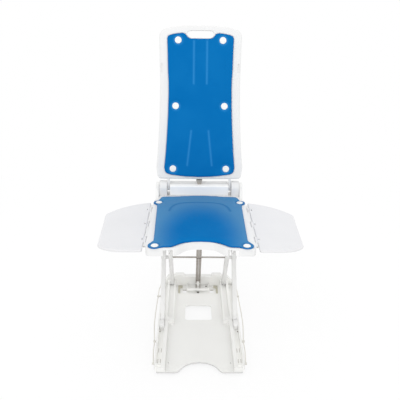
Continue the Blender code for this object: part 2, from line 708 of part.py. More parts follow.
def add_seat_side(plate, seat, side, under):
    """Arm notch, slotted rail, shaft brackets, backrest ear and flap knuckles of one side."""
    for x_low, x_high, top in ((0.0925, 0.1065, under), (0.1060, 0.1290, 0.4522)):
        low, high = sorted((side * x_low, side * x_high))
        front = (low, SEAT_FRONT - 0.01, SKIRT_BOTTOM - 0.01)
        cut(plate, box(front, (high, SEAT_FRONT + 0.012, top)), seat)
    low, high = sorted((side * 0.1050, side * 0.1078))
    join(plate, box((low, SEAT_FRONT + 0.002, SKIRT_BOTTOM), (high, -0.050, under + 0.001)), seat)
    low, high = sorted((side * 0.1040, side * 0.1083))
    slot_front = (low, SEAT_FRONT - 0.006, SEAT_PIVOT_Z - PIN_HOLE)
    cut(plate, box(slot_front, (high, SLIDE_Y + 0.010, SEAT_PIVOT_Z + PIN_HOLE)), seat)
    for x_low, x_high, bore_end in ((0.0880, 0.0970, 0.0990), (0.1562, 0.1668, 0.1650)):
        upright = ear_outline((PIVOT_Y, SEAT_PIVOT_Z), LUG_RADIUS, 2 * SEAT_PIVOT_Z - under - 0.001,
                              PIVOT_Y - LUG_RADIUS, PIVOT_Y + LUG_RADIUS)
        bracket = [(y, 2 * SEAT_PIVOT_Z - z) for y, z in upright]
        low, high = sorted((side * x_low, side * x_high))
        join(plate, extrude_outline(bracket, low, high, "YZ"), seat)
        bore_low, bore_high = sorted((side * (x_low - 0.002), side * bore_end))
        cut(plate, rod_x(bore_low, bore_high, PIVOT_Y, SEAT_PIVOT_Z, 0.0053), seat)
    low, high = sorted((side * EAR_INNER_X, side * EAR_OUTER_X))
    ear = ear_outline((HINGE_Y, HINGE_Z), EAR_RADIUS, SEAT_TOP - 0.002, HINGE_Y - 0.030, HINGE_Y + 0.026)
    join(plate, extrude_outline(ear, low, high, "YZ"), seat)
    cut(plate, rod_x(low - 0.01, high - 0.002 if side > 0 else high + 0.01, HINGE_Y, HINGE_Z, PIN_HOLE), seat)
    for start, end in seat_knuckles():
        middle = (side * FLAP_AXIS_X, (start + end) / 2, FLAP_AXIS_Z)
        join(plate, rod(middle, "Y", KNUCKLE_RADIUS, end - start, 16), seat)
        low, high = sorted((side * (SEAT_HALF_WIDTH - 0.002), side * FLAP_AXIS_X))
        join(plate, box((low, start, FLAP_AXIS_Z - 0.0035), (high, end, FLAP_AXIS_Z + 0.0035)), seat)
    cut(plate, rod((side * FLAP_AXIS_X, -0.090, FLAP_AXIS_Z), "Y", FLAP_PIN_RADIUS + GAP, 0.420, 12), seat)


def seat_knuckles():
    return [(-0.262, -0.236), (-0.188, -0.108), (-0.058, 0.028), (0.078, 0.104)]


def flap_knuckles():
    return [(-0.2354, -0.1886), (-0.1074, -0.0586), (0.0286, 0.0774)]


def seat_clip_places():
    return [(side * x, y) for x, y in ((0.157, -0.2725), (0.166, 0.115)) for side in (-1, 1)]


def seat_cover_outline():
    half = [(0.0, -0.2386 - 0.004)]
    half += smooth([(0.033, -0.2455), (0.0610, -0.2535), (0.0825, -0.2690), (0.1000, -0.2815),
                    (0.1290, -0.2845)], 3)
    half += arc((0.157, -0.2725), 0.0245, -115, 45, 8)
    half += smooth([(0.1645, -0.240), (0.1665, -0.150), (0.1690, -0.050), (0.1718, 0.060),
                    (0.1735, 0.088)], 2)
    half += arc((0.1655, 0.112), 0.0215, -42, 88, 6)
    half += smooth([(0.158, 0.158), (0.145, 0.164), (0.107, 0.163), (0.073, 0.1715), (0.036, 0.1765)], 2)
    half += [(0.0, 0.178)]
    return mirrored(half)


def pad_solid(outline, centre, bottom, edge, crown, rings=5):
    """A padded cover: a flat underside, a rounded rim and a crown that rises to the middle."""
    shape = bmesh.new()
    loops = [[shape.verts.new((x, y, bottom)) for x, y in outline]]
    loops.append([shape.verts.new((x, y, bottom + edge * 0.55)) for x, y in outline])
    for k in range(rings):
        part = (k + 1) / rings
        shrink = 1 - 0.985 * part ** 1.35
        if k == 0:
            shrink = 0.985
        height = bottom + edge + (crown - edge) * math.sin(part * math.pi / 2) ** 0.9 * (0 if k == 0 else 1)
        loops.append([shape.verts.new((centre[0] + (x - centre[0]) * shrink,
                                       centre[1] + (y - centre[1]) * shrink, height)) for x, y in outline])
    count = len(outline)
    for lower, upper in zip(loops, loops[1:]):
        for n in range(count):
            shape.faces.new((lower[n], lower[(n + 1) % count], upper[(n + 1) % count], upper[n]))
    shape.faces.new(loops[-1])
    shape.faces.new(list(reversed(loops[0])))
    bmesh.ops.recalc_face_normals(shape, faces=shape.faces)
    mesh = bpy.data.meshes.new("pad")
    shape.to_mesh(mesh)
    shape.free()
    mesh.shade_smooth()
    mesh.set_sharp_from_angle(angle=math.radians(50))
    item = bpy.data.objects.new("pad", mesh)
    bpy.context.scene.collection.objects.link(item)
    return item


def pad_height(point, outline, centre, bottom, edge, crown):
    """Height of the crown above a place on the pad, from how far it is towards the rim."""
    reach = 0.0
    away = Vector((point[0] - centre[0], point[1] - centre[1]))
    best = math.pi
    for x, y in outline:
        spoke = Vector((x - centre[0], y - centre[1]))
        turn = away.angle(spoke)
        if turn < best:
            best = turn
            reach = spoke.length
    shrink = min(0.985, away.length / reach)
    part = ((1 - shrink) / 0.985) ** (1 / 1.35)
    return bottom + edge + (crown - edge) * math.sin(part * math.pi / 2) ** 0.9


def make_seat_cover(seat):
    outline = seat_cover_outline()
    centre = (0.0, -0.050)
    bottom = SEAT_TOP + GAP
    cover = pad_solid(outline, centre, bottom, COVER_EDGE, SEAT_CROWN)
    finish_part(cover, "seat_cover", BLUE_PAD, seat)
    line = smooth([(-0.120, -0.022), (-0.1145, 0.027), (-0.092, 0.066), (-0.0515, 0.081), (0.0, 0.087),
                   (0.0515, 0.081), (0.092, 0.066), (0.1145, 0.027), (0.120, -0.022)], 3)
    route = []
    for x, y in line:
        height = pad_height((x, y), outline, centre, bottom, COVER_EDGE, SEAT_CROWN)
        route.append((x, y, height + 0.0004))
    cut(cover, tube(route, 0.0016), seat)
    for x, y in seat_clip_places():
        cut(cover, rod((x, y, SEAT_TOP), "Z", CLIP_HOLE, 0.040, 16), seat)
        cut(cover, rod((x, y, SEAT_TOP + CLIP_SEAT + 0.010), "Z", SEAT_CLIP_RADIUS + 0.001, 0.020, 24), seat)


def clip_profile(radius, seat_height, plate_depth):
    """A push-in stud from its domed head down to its tip. Height 0 is the face of the plate."""
    head = seat_height + GAP
    return [(0.0, head + 0.0030), (radius * 0.55, head + 0.0027), (radius * 0.88, head + 0.0016),
            (radius, head), (CLIP_STEM, head), (CLIP_STEM, -plate_depth), (0.0025, -plate_depth - 0.0030),
            (0.0, -plate_depth - 0.0030)]


def make_seat_clips(seat):
    names = ("front_left", "front_right", "rear_left", "rear_right")
    profile = clip_profile(SEAT_CLIP_RADIUS, CLIP_SEAT, SEAT_PLATE)
    for name, (x, y) in zip(names, seat_clip_places()):
        clip = turned(profile, (x, y, SEAT_TOP), "Z", 12)
        finish_part(clip, "seat_clip_" + name, WHITE_ABS, seat)


def make_drive(seat):
    """Motor, gearbox, cover and the two ends that carry the spindle, all under the seat."""
    under = SEAT_TOP - SEAT_PLATE - GAP
    box_outline = [(-0.012, 0.4370), (0.030, 0.4370), (0.030, 0.4155), (0.074, 0.4155)]
    box_outline += [(0.074, under), (-0.012, under)]
    gearbox = extrude_outline(box_outline, -0.046, -0.014, "XZ")
    finish_part(gearbox, "gearbox", GREY_PLASTIC, seat)
    cut(gearbox, rod((0.0, 0.014, SPINDLE_Z), "Y", SPINDLE_RADIUS + GAP, 0.030, 20), seat)
    cut(gearbox, rod((MOTOR_X, 0.046, MOTOR_Z), "Y", 0.0043, 0.030, 16), seat)
    motor = rod((MOTOR_X, 0.095, MOTOR_Z), "Y", MOTOR_RADIUS, 0.0970, 28)
    finish_part(motor, "drive_motor", DARK_STEEL, seat)
    join(motor, rod((MOTOR_X, 0.041, MOTOR_Z), "Y", 0.0040, 0.0160, 16), seat)
    cover = rod((MOTOR_X, 0.0965, MOTOR_Z), "Y", MOTOR_COVER_RADIUS, 0.100, 28)
    finish_part(cover, "motor_cover", WHITE_ABS, seat)
    cut(cover, rod((MOTOR_X, 0.0945, MOTOR_Z), "Y", MOTOR_RADIUS + 0.0005, 0.100, 28), seat)
    cut(cover, box((0.0, 0.02, under), (0.10, 0.20, 0.50)), seat)
    bearing = box((-0.011, -0.2300, 0.4385), (0.011, -0.2215, under))
    finish_part(bearing, "spindle_bearing", WHITE_ABS, seat)
    cut(bearing, rod((0.0, -0.226, SPINDLE_Z), "Y", SPINDLE_RADIUS + GAP, 0.030, 20), seat)


def make_spindle(spindle):
    """The screw that moves the carriage, turning about Y."""
    front = -0.2295
    rear = 0.0270
    screw = rod((0.0, (front + rear) / 2, 0.0), "Y", SPINDLE_RADIUS, rear - front, 20)
    finish_part(screw, "lift_spindle", STEEL, spindle)


def make_seat_fittings(seat):
    shaft = rod_x(-0.1645, 0.1645, PIVOT_Y, SEAT_PIVOT_Z, 0.0050)
    finish_part(shaft, "rear_shaft", STEEL, seat)
    for side, word in ((-1, "left"), (1, "right")):
        low, high = sorted((side * (LUG_INNER_X + 0.0005), side * (EAR_OUTER_X - 0.0024)))
        pin = rod_x(low, high, HINGE_Y, HINGE_Z, PIN_RADIUS)
        finish_part(pin, "back_hinge_pin_" + word, STEEL, seat)
        low, high = sorted((side * (SEAT_REAR_HALF_WIDTH + GAP), side * CHEEK_OUTER_X))
        outline = ear_outline((HINGE_Y, HINGE_Z), 0.024, 0.434, HINGE_Y - 0.068, HINGE_Y + 0.026)
        cheek = extrude_outline(outline, low, high, "YZ")
        finish_part(cheek, "hinge_cheek_" + word, BASE_WHITE, seat)
        pin = rod((side * FLAP_AXIS_X, -0.079, FLAP_AXIS_Z), "Y", FLAP_PIN_RADIUS, 0.364, 12)
        finish_part(pin, "flap_pin_" + word, STEEL, seat)
    profile = [(0.0, 0.0030), (0.0035, 0.0030), (0.0035, 0.0090), (0.0105, 0.0090), (0.0115, 0.0078)]
    profile += [(0.0115, 0.0043), (0.0080, 0.0043), (0.0080, -0.0090), (0.0, -0.0090)]
    socket = turned(profile, (SOCKET_X, SEAT_REAR - 0.004, SOCKET_Z), "Y", 20)
    finish_part(socket, "handset_socket", GREY_PLASTIC, seat)


# Flaps

def flap_outline():
    points = [(FLAP_INNER_X, -0.291), (0.2035, -0.2975), (0.2780, -0.2975)]
    points += smooth([(0.3030, -0.2940), (0.3260, -0.2850), (0.3450, -0.2715), (0.3532, -0.2580)], 2)
    points += [(0.3562, -0.210), (0.3608, -0.096), (0.3662, -0.016)]
    points += smooth([(0.3658, -0.004), (0.3605, 0.0120), (0.3280, 0.0525), (0.2960, 0.0800),
                      (0.2625, 0.1020), (0.2290, 0.1165)], 2)
    points += [(0.2080, 0.1228), (FLAP_INNER_X, 0.1228)]
    return points


def make_flap(pivot, side, word):
    """One side flap, drawn from the empty on its hinge axis."""
    points = [(side * (x - FLAP_AXIS_X), y) for x, y in flap_outline()]
    flap = extrude_outline(points, FLAP_BOTTOM - FLAP_AXIS_Z, FLAP_TOP - FLAP_AXIS_Z, "XY")
    finish_part(flap, "side_flap_" + word, FLAP_WHITE, pivot)
    for start, end in flap_knuckles():
        join(flap, rod((0.0, (start + end) / 2, 0.0), "Y", KNUCKLE_RADIUS, end - start, 16), pivot)
        low, high = sorted((0.0, side * (FLAP_INNER_X - FLAP_AXIS_X + 0.002)))
        join(flap, box((low, start, -0.0035), (high, end, 0.0035)), pivot)
    cut(flap, rod((0.0, -0.090, 0.0), "Y", FLAP_PIN_RADIUS + GAP, 0.420, 12), pivot)
    for x, y in ((0.2080, 0.052), (0.2060, -0.083), (0.2050, -0.2115)):
        cut(flap, rod((side * (x - FLAP_AXIS_X), y, 0.0), "Z", 0.0026, 0.030, 12), pivot)
    return flap


# Backrest, drawn from the empty on its hinge: X across, Z up along it, Y through it

def back_outline():
    half = [(0.0, 0.0)]
    half += arc((0.1600, 0.0180), 0.0160, -90, -5, 4)
    half += smooth([(0.1815, 0.049), (0.1755, 0.130), (0.1690, 0.265), (0.1664, 0.397), (0.1678, 0.490),
                    (0.1702, 0.588)], 3)
    half += smooth([(0.1690, 0.5990), (0.1625, 0.6105), (0.1490, 0.6200), (0.1280, 0.6262), (0.1010, 0.6305),
                    (0.0640, 0.6340)], 2)
    half += [(0.0, 0.6360)]
    return [(x, y + BACK_FOOT) for x, y in mirrored(half)]


def slot_outline():
    half = [(0.0, 0.5845), (0.0390, 0.5845)]
    half += smooth([(0.0450, 0.5870), (0.0520, 0.5960), (0.0545, 0.6030), (0.0520, 0.6110),
                    (0.0440, 0.6155)], 2)
    half += [(0.0, 0.6160)]
    return [(x, y + BACK_FOOT) for x, y in mirrored(half)]


def back_clip_places():
    right = ((0.1120, 0.0442), (0.1015, 0.3079), (0.0918, 0.5752))
    return [(side * x, y) for x, y in right for side in (-1, 1)]


def back_pockets():
    """The pockets of the ribbed rear side, as one cutter."""
    cutter = None
    columns = ((-0.1560, -0.0800), (-0.0765, -0.0018), (0.0018, 0.0765), (0.0800, 0.1560))
    rows = ((0.008, 0.118), (0.122, 0.232), (0.236, 0.346), (0.350, 0.460), (0.464, 0.566))
    for left, right in columns:
        for low, high in rows:
            pocket = rounded_rectangle((left, low + BACK_FOOT), (right, high + BACK_FOOT), 0.006, 2)
            piece = extrude_outline(pocket, -BACK_REAR_FACE - 0.01, -(BACK_FRONT_FACE + BACK_PANEL), "XZ")
            if cutter is None:
                cutter = piece
            else:
                merge_meshes(cutter, piece)
    return cutter


def merge_meshes(first, second):
    """Adds the second object's mesh to the first one's as a further closed body of a cutter."""
    shape = bmesh.new()
    shape.from_mesh(first.data)
    shape.from_mesh(second.data)
    shape.to_mesh(first.data)
    shape.free()
    bpy.data.objects.remove(second, do_unlink=True)


def make_back_plate(hinge):
    plate = extrude_outline(back_outline(), -BACK_REAR_FACE, -BACK_FRONT_FACE, "XZ")
    finish_part(plate, "backrest_plate", WHITE_ABS, hinge)
    cut(plate, back_pockets(), hinge)
    cut(plate, extrude_outline(slot_outline(), -0.05, 0.05, "XZ"), hinge)
    for side in (-1, 1):
        low, high = sorted((side * LUG_INNER_X, side * LUG_OUTER_X))
        upright = ear_outline((0.0, 0.0), 0.0118, -BACK_FOOT - 0.030, BACK_FRONT_FACE + 0.004, 0.0105)
        lug = [(y, -z) for y, z in upright]
        join(plate, extrude_outline(lug, low, high, "YZ"), hinge)
        cut(plate, rod_x(low - 0.01, high + 0.01, 0.0, 0.0, PIN_HOLE), hinge)
        notch_low, notch_high = sorted((side * 0.1575, side * 0.1615))
        notch = (notch_low, BACK_FRONT_FACE - 0.01, 0.445 + BACK_FOOT)
        cut(plate, box(notch, (notch_high, BACK_FRONT_FACE + 0.0018, 0.482 + BACK_FOOT)), hinge)
    for x, z in back_clip_places():
        cut(plate, rod((x, BACK_FRONT_FACE, z + BACK_FOOT), "Y", CLIP_HOLE, 0.030, 16), hinge)


def back_cover_outline():
    half = [(0.0, 0.0100)]
    half += smooth([(0.050, 0.0115), (0.0740, 0.0134), (0.1077, 0.0177), (0.130, 0.0215), (0.1440, 0.0300),
                    (0.1495, 0.0490)], 2)
    half += smooth([(0.1432, 0.120), (0.1382, 0.200), (0.1335, 0.294), (0.1320, 0.397), (0.1345, 0.458),
                    (0.1374, 0.583)], 2)
    half += smooth([(0.1340, 0.5915), (0.1260, 0.5960), (0.1030, 0.6015), (0.0740, 0.6052)], 2)
    half += smooth([(0.0620, 0.6010), (0.0545, 0.5905), (0.0460, 0.5843), (0.0380, 0.5830)], 2)
    half += [(0.0, 0.5830)]
    return mirrored(half)


def make_back_cover(hinge):
    """Drawn flat like the seat's cover, then stood up against the plate."""
    outline = back_cover_outline()
    centre = (0.0, 0.300)
    cover = pad_solid(outline, centre, GAP, COVER_EDGE, BACK_CROWN)
    finish_part(cover, "back_cover", BLUE_PAD, hinge)
    cover.location = (0.0, BACK_FRONT_FACE, BACK_FOOT)
    cover.rotation_euler = (math.pi / 2, 0.0, 0.0)
    for start, end in (((0.027, 0.400), (0.027, 0.566)), ((0.036, 0.205), (0.052, 0.060))):
        for side in (-1, 1):
            route = []
            for n in range(7):
                x = side * (start[0] + (end[0] - start[0]) * n / 6)
                y = start[1] + (end[1] - start[1]) * n / 6
                height = pad_height((x, y), outline, centre, GAP, COVER_EDGE, BACK_CROWN)
                route.append((x, y, height + 0.0004))
            groove = tube(route, 0.0014)
            groove.location = cover.location
            groove.rotation_euler = cover.rotation_euler
            cut(cover, groove, hinge)
    for x, y in back_clip_places():
        cut(cover, rod((x, BACK_FRONT_FACE, y + BACK_FOOT), "Y", CLIP_HOLE, 0.050, 16), hinge)
        dimple = (x, BACK_FRONT_FACE - CLIP_SEAT - 0.010, y + BACK_FOOT)
        cut(cover, rod(dimple, "Y", BACK_CLIP_RADIUS + 0.001, 0.020, 24), hinge)


def make_back_clips(hinge):
    names = ("lower_left", "lower_right", "middle_left", "middle_right", "upper_left", "upper_right")
    profile = clip_profile(BACK_CLIP_RADIUS, CLIP_SEAT, BACK_PANEL)
    for name, (x, y) in zip(names, back_clip_places()):
        clip = turned(profile, (x, BACK_FRONT_FACE, y + BACK_FOOT), "-Y", 12)
        finish_part(clip, "back_clip_" + name, WHITE_ABS, hinge)


def make_back_buffer(seat):
    """The tapered buffer on the beam that the upright backrest closes against."""
    foot = BEAM_TOP + GAP
    half = [(0.0, foot), (0.0070, foot), (0.0078, foot + 0.003), (0.0112, foot + 0.014)]
    half += [(0.0130, BUFFER_TOP - 0.0015), (0.0120, BUFFER_TOP), (0.0, BUFFER_TOP)]
    buffer = extrude_outline(mirrored(half), -BUFFER_REAR, -BUFFER_FRONT, "XZ")
    finish_part(buffer, "back_buffer", TAN_PLASTIC, seat)


def build():
    clear_scene()
    make_collection(PART_COLLECTION)
    make_collection(CUTTER_COLLECTION)
    root = make_empty("lift_frame", (0.0, 0.0, 0.0))
    make_base(root)
    make_cups(root)
    make_lever_bracket(root)
    make_inner_foot_pins(root)
    make_release_cords(root)
    inner = make_empty("inner_arm_axis", (0.0, PIVOT_Y, PIVOT_Z), (-REST_ANGLE, 0.0, 0.0), root)
    make_inner_frame(inner)
    outer = make_empty("outer_arm_axis", (0.0, CROSS_Y, CROSS_Z), (REST_ANGLE, 0.0, 0.0), root)
    make_outer_frame(outer)
    slide = make_empty("foot_slider_axis", (0.0, SLIDE_Y, PIVOT_Z), parent=root)
    make_foot_sliders(slide)
    carriage = make_empty("carriage_axis", (0.0, SLIDE_Y, SEAT_PIVOT_Z), parent=root)
    make_carriage(carriage)
    make_seat_plate(root)
    make_seat_cover(root)
    make_seat_clips(root)
    make_drive(root)
    make_seat_fittings(root)
    make_rear_beam(root)
    make_back_buffer(root)
    spindle = make_empty("spindle_axis", (0.0, 0.0, SPINDLE_Z), parent=root)
    make_spindle(spindle)
    for side, word in ((-1, "left"), (1, "right")):
        pivot = make_empty("flap_axis_" + word, (side * FLAP_AXIS_X, 0.0, FLAP_AXIS_Z), parent=root)
        make_flap(pivot, side, word)
    hinge = make_empty("backrest_axis", (0.0, HINGE_Y, HINGE_Z), (-BACK_LEAN, 0.0, 0.0), root)
    make_back_plate(hinge)
    make_back_cover(hinge)
    make_back_clips(hinge)
    bpy.context.view_layer.update()


build()
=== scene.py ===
import sys
import logging
import math
from contextlib import contextmanager
from dataclasses import dataclass, field
from enum import Enum
from typing import Any, Callable, Iterator, Optional, Sequence, Union

import bmesh
import bpy
from mathutils import Matrix, Vector


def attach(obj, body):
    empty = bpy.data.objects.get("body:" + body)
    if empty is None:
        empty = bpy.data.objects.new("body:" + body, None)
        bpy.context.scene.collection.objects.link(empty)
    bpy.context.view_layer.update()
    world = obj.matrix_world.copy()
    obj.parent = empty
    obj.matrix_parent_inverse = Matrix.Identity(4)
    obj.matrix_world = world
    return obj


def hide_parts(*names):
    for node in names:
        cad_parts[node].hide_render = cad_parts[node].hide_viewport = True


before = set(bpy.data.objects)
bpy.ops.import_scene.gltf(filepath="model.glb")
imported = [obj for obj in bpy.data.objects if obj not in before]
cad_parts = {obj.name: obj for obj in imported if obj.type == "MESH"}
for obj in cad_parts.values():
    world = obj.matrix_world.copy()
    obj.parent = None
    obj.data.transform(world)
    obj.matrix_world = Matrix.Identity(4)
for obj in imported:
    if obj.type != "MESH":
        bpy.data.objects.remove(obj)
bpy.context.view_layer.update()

LOG = logging.getLogger("electric_floor_lift")

Point = tuple[float, float]
Place = tuple[float, float, float]
Colour = tuple[float, float, float]
Outline = list[Point]

LEFT_RIGHT = ((-1, "left"), (1, "right"))
CORNERS = ("front_left", "front_right", "rear_left", "rear_right")
WHITE: Colour = (1.0, 1.0, 1.0)

# Sizes that many pieces share, in metres: pins, their bores, clearance, a cutter's overhang, a hair's breadth
PIN = 0.0032
BORE = 0.0035
CROSS_BORE = 0.0036
GAP = 0.0003
OVERHANG = 0.01
HAIR = 1e-5


# Outlines

class View(Enum):
    """The side from which an outline is drawn before it gets its thickness."""

    ABOVE = "above"
    FRONT = "front"
    SIDE = "side"

    def lift(self, u: float, v: float, depth: float) -> Vector:
        """Puts a point of an outline into space.

        Args:
            u: first coordinate of the outline.
            v: second coordinate of the outline.
            depth: place along the direction in which it is looked at.

        Returns:
            The point in the lift's own frame.
        """
        if self is View.ABOVE:
            return Vector((u, v, depth))
        if self is View.FRONT:
            return Vector((u, depth, v))
        return Vector((depth, u, v))


def arc(centre: Point, radius: float, start: float, end: float, steps: int) -> Outline:
    """Gives points along an arc.

    Args:
        centre: middle of the arc.
        radius: its radius.
        start: first angle in degrees.
        end: last angle in degrees.
        steps: how many pieces it is split into.

    Returns:
        The points, both ends included.
    """
    points = []
    for step in range(steps + 1):
        angle = math.radians(start + (end - start) * step / steps)
        points.append((centre[0] + radius * math.cos(angle), centre[1] + radius * math.sin(angle)))
    return points


def smooth(points: Sequence[Sequence[float]], per_span: int) -> list[tuple[float, ...]]:
    """Draws a flowing curve through open points.

    Args:
        points: points of two or three coordinates.
        per_span: how many pieces each span is split into.

    Returns:
        The points of the curve.
    """
    known = [Vector(point) for point in points]
    padded = [2 * known[0] - known[1]] + known + [2 * known[-1] - known[-2]]
    made = []
    for index in range(1, len(padded) - 2):
        before, here, after, beyond = padded[index - 1:index + 3]
        for step in range(per_span):
            t = step / per_span
            value = 2 * here + (after - before) * t
            value += (2 * before - 5 * here + 4 * after - beyond) * t * t
            value += (3 * here - before - 3 * after + beyond) * t * t * t
            made.append(tuple(value / 2))
    made.append(tuple(known[-1]))
    return made


def mirrored(half: Outline) -> Outline:
    """Closes a right-hand half outline, listed from the middle round to the middle."""
    return half + [(-x, y) for x, y in reversed(half) if abs(x) > 1e-6]


def rounded_rectangle(low: Point, high: Point, radius: float, steps: int = 4) -> Outline:
    """Gives a rectangle with round corners.

    Args:
        low: lower left corner.
        high: upper right corner.
        radius: radius of the corners.
        steps: pieces in each corner.

    Returns:
        The outline.
    """
    points = arc((high[0] - radius, high[1] - radius), radius, 0, 90, steps)
    points += arc((low[0] + radius, high[1] - radius), radius, 90, 180, steps)
    points += arc((low[0] + radius, low[1] + radius), radius, 180, 270, steps)
    points += arc((high[0] - radius, low[1] + radius), radius, 270, 360, steps)
    return points


def widened(outline: Outline, amount: float) -> Outline:
    """Moves every point of a closed outline outwards.

    Args:
        outline: the outline, listed anticlockwise or clockwise.
        amount: how far it grows, in metres.

    Returns:
        The wider outline.
    """
    count = len(outline)
    area = sum(outline[n][0] * outline[(n + 1) % count][1] - outline[(n + 1) % count][0] * outline[n][1]
               for n in range(count))
    sign = 1.0 if area > 0 else -1.0
    made = []
    for n in range(count):
        before = Vector(outline[n - 1])
        after = Vector(outline[(n + 1) % count])
        along = (after - before).normalized()
        made.append((outline[n][0] + sign * along.y * amount, outline[n][1] - sign * along.x * amount))
    return made


def gap_to_line(point: Vector, line: Sequence[Sequence[float]]) -> float:
    """Measures how far a flat point lies from a line of short straight pieces.

    Args:
        point: the point, of which the first two coordinates count.
        line: the points of the line.

    Returns:
        The shortest distance in metres.
    """
    best = 10.0
    here = Vector(point[:2])
    for first, second in zip(line, line[1:]):
        start = Vector(first[:2])
        along = Vector(second[:2]) - start
        part = clamped((here - start).dot(along) / max(along.length_squared, 1e-12))
        best = min(best, (here - start - along * part).length)
    return best


def clamped(value: float) -> float:
    """Keeps a number between 0 and 1."""
    return max(0.0, min(1.0, value))


def spread(side: int, near: float, far: float) -> tuple[float, float]:
    """Gives two distances from the middle as places on one side, the lower place first."""
    low, high = sorted((side * near, side * far))
    return low, high


def turned(place: Place, axis: str, quarters: int) -> Matrix:
    """Gives the matrix of something that makes quarter turns about an axis and is then moved to a place."""
    return Matrix.Translation(place) @ Matrix.Rotation(quarters * math.pi / 2, 4, axis)


# Shaping

class Pick(Enum):
    """What is selected on a mesh in edit mode."""

    FACES = "FACE"
    EDGES = "EDGE"


class Workpiece:
    """One mesh that is shaped in edit mode with Blender's own tools."""

    def __init__(self, item: bpy.types.Object) -> None:
        """Takes over an object that has a mesh."""
        self.item = item

    @classmethod
    def _adopt(cls, name: str) -> "Workpiece":
        """Names the object that an operator has just added.

        Args:
            name: name of the piece.

        Returns:
            The new piece.
        """
        item = bpy.context.view_layer.objects.active
        item.name = name
        item.data.name = name
        return cls(item)

    @classmethod
    def from_outline(cls, name: str, outline: Outline, low: float, high: float, view: View) -> "Workpiece":
        """Draws a flat face with the outline and extrudes it.

        Args:
            name: name of the piece.
            outline: the outline's points.
            low: where its first face lies along the view.
            high: where its other face lies.
            view: the side from which the outline is drawn.

        Returns:
            A closed block with that outline.
        """
        bpy.ops.object.select_all(action="DESELECT")
        bpy.ops.mesh.primitive_circle_add(vertices=len(outline), radius=0.1, fill_type="NGON")
        work = cls._adopt(name)
        for vertex, (u, v) in zip(work.item.data.vertices, outline):
            vertex.co = view.lift(u, v, low)
        with work.editing():
            bpy.ops.mesh.select_all(action="SELECT")
            shift = view.lift(0.0, 0.0, high - low)
            bpy.ops.mesh.extrude_region_move(TRANSFORM_OT_translate={"value": tuple(shift)})
            work.turn_outwards()
        return work

    @classmethod
    def block(cls, name: str, low: Place, high: Place) -> "Workpiece":
        """Adds a block between two corners.

        Args:
            name: name of the piece.
            low: its lowest corner.
            high: its highest corner.

        Returns:
            The block.
        """
        bpy.ops.object.select_all(action="DESELECT")
        bpy.ops.mesh.primitive_cube_add(size=1.0)
        work = cls._adopt(name)
        size = Vector(high) - Vector(low)
        middle = (Vector(high) + Vector(low)) / 2
        work.item.data.transform(Matrix.Translation(middle) @ Matrix.Diagonal((*size, 1.0)))
        return work

    @classmethod
    def bar(cls, name: str, start: Place, end: Place, radius: float, sides: int = 24) -> "Workpiece":
        """Adds a round bar between two points.

        Args:
            name: name of the piece.
            start: middle of its first end.
            end: middle of its other end.
            radius: its radius.
            sides: faces round it.

        Returns:
            The bar.
        """
        bpy.ops.object.select_all(action="DESELECT")
        run = Vector(end) - Vector(start)
        bpy.ops.mesh.primitive_cylinder_add(vertices=sides, radius=radius, depth=run.length)
        work = cls._adopt(name)
        turn = run.to_track_quat("Z", "Y").to_matrix().to_4x4()
        middle = (Vector(start) + Vector(end)) / 2
        work.item.data.transform(Matrix.Translation(middle) @ turn)
        return work

    @classmethod
    def spun(cls, name: str, profile: Outline, place: Matrix, steps: int = 32,
             open_profile: bool = True) -> "Workpiece":
        """Spins a profile round its own upright axis.

        Args:
            name: name of the piece.
            profile: pairs of radius and height.
            place: where the axis stands on the lift.
            steps: pieces round the axis.
            open_profile: whether both ends of the profile lie on the axis.

        Returns:
            The closed turned piece.
        """
        bpy.ops.object.select_all(action="DESELECT")
        bpy.ops.mesh.primitive_circle_add(vertices=len(profile), radius=0.1, fill_type="NOTHING")
        work = cls._adopt(name)
        for vertex, (radius, height) in zip(work.item.data.vertices, profile):
            vertex.co = (radius, 0.0, height)
        with work.editing():
            if open_profile:
                work.pick(Pick.EDGES, lambda middle, along: abs(middle.x) < 1e-7)
                bpy.ops.mesh.delete(type="EDGE")
            bpy.ops.mesh.select_all(action="SELECT")
            bpy.ops.mesh.spin(steps=steps, angle=math.tau, center=(0.0, 0.0, 0.0), axis=(0.0, 0.0, 1.0))
            bpy.ops.mesh.select_all(action="SELECT")
            bpy.ops.mesh.remove_doubles(threshold=1e-6)
            work.turn_outwards()
        work.item.data.transform(place)
        return work

    @classmethod
    def from_node(cls, name: str, node: str) -> "Workpiece":
        """Copies the mesh of a CAD node and welds its loose triangles.

        Args:
            name: name of the piece.
            node: name of the CAD node.

        Returns:
            The copy, with its flat faces whole.
        """
        bpy.ops.object.select_all(action="DESELECT")
        item = bpy.data.objects.new(name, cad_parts[node].data.copy())
        item.data.name = name
        bpy.context.scene.collection.objects.link(item)
        bpy.context.view_layer.objects.active = item
        item.select_set(True)
        work = cls(item)
        with work.editing():
            bpy.ops.mesh.select_all(action="SELECT")
            bpy.ops.mesh.customdata_custom_splitnormals_clear()
            bpy.ops.mesh.remove_doubles(threshold=0.00002)
            bpy.ops.mesh.dissolve_limited(angle_limit=math.radians(0.5))
        return work

    @contextmanager
    def editing(self) -> Iterator[None]:
        """Keeps the piece in edit mode for a block of steps.

        Returns:
            Nothing, while the block runs.
        """
        self.activate()
        bpy.ops.object.mode_set(mode="EDIT")
        try:
            yield
        finally:
            bpy.ops.object.mode_set(mode="OBJECT")

    def activate(self) -> None:
        """Makes this the only selected object and the active one."""
        bpy.ops.object.select_all(action="DESELECT")
        self.item.select_set(True)
        bpy.context.view_layer.objects.active = self.item

    def turn_outwards(self) -> None:
        """Turns all faces outwards, in edit mode."""
        bpy.ops.mesh.select_all(action="SELECT")
        bpy.ops.mesh.normals_make_consistent(inside=False)

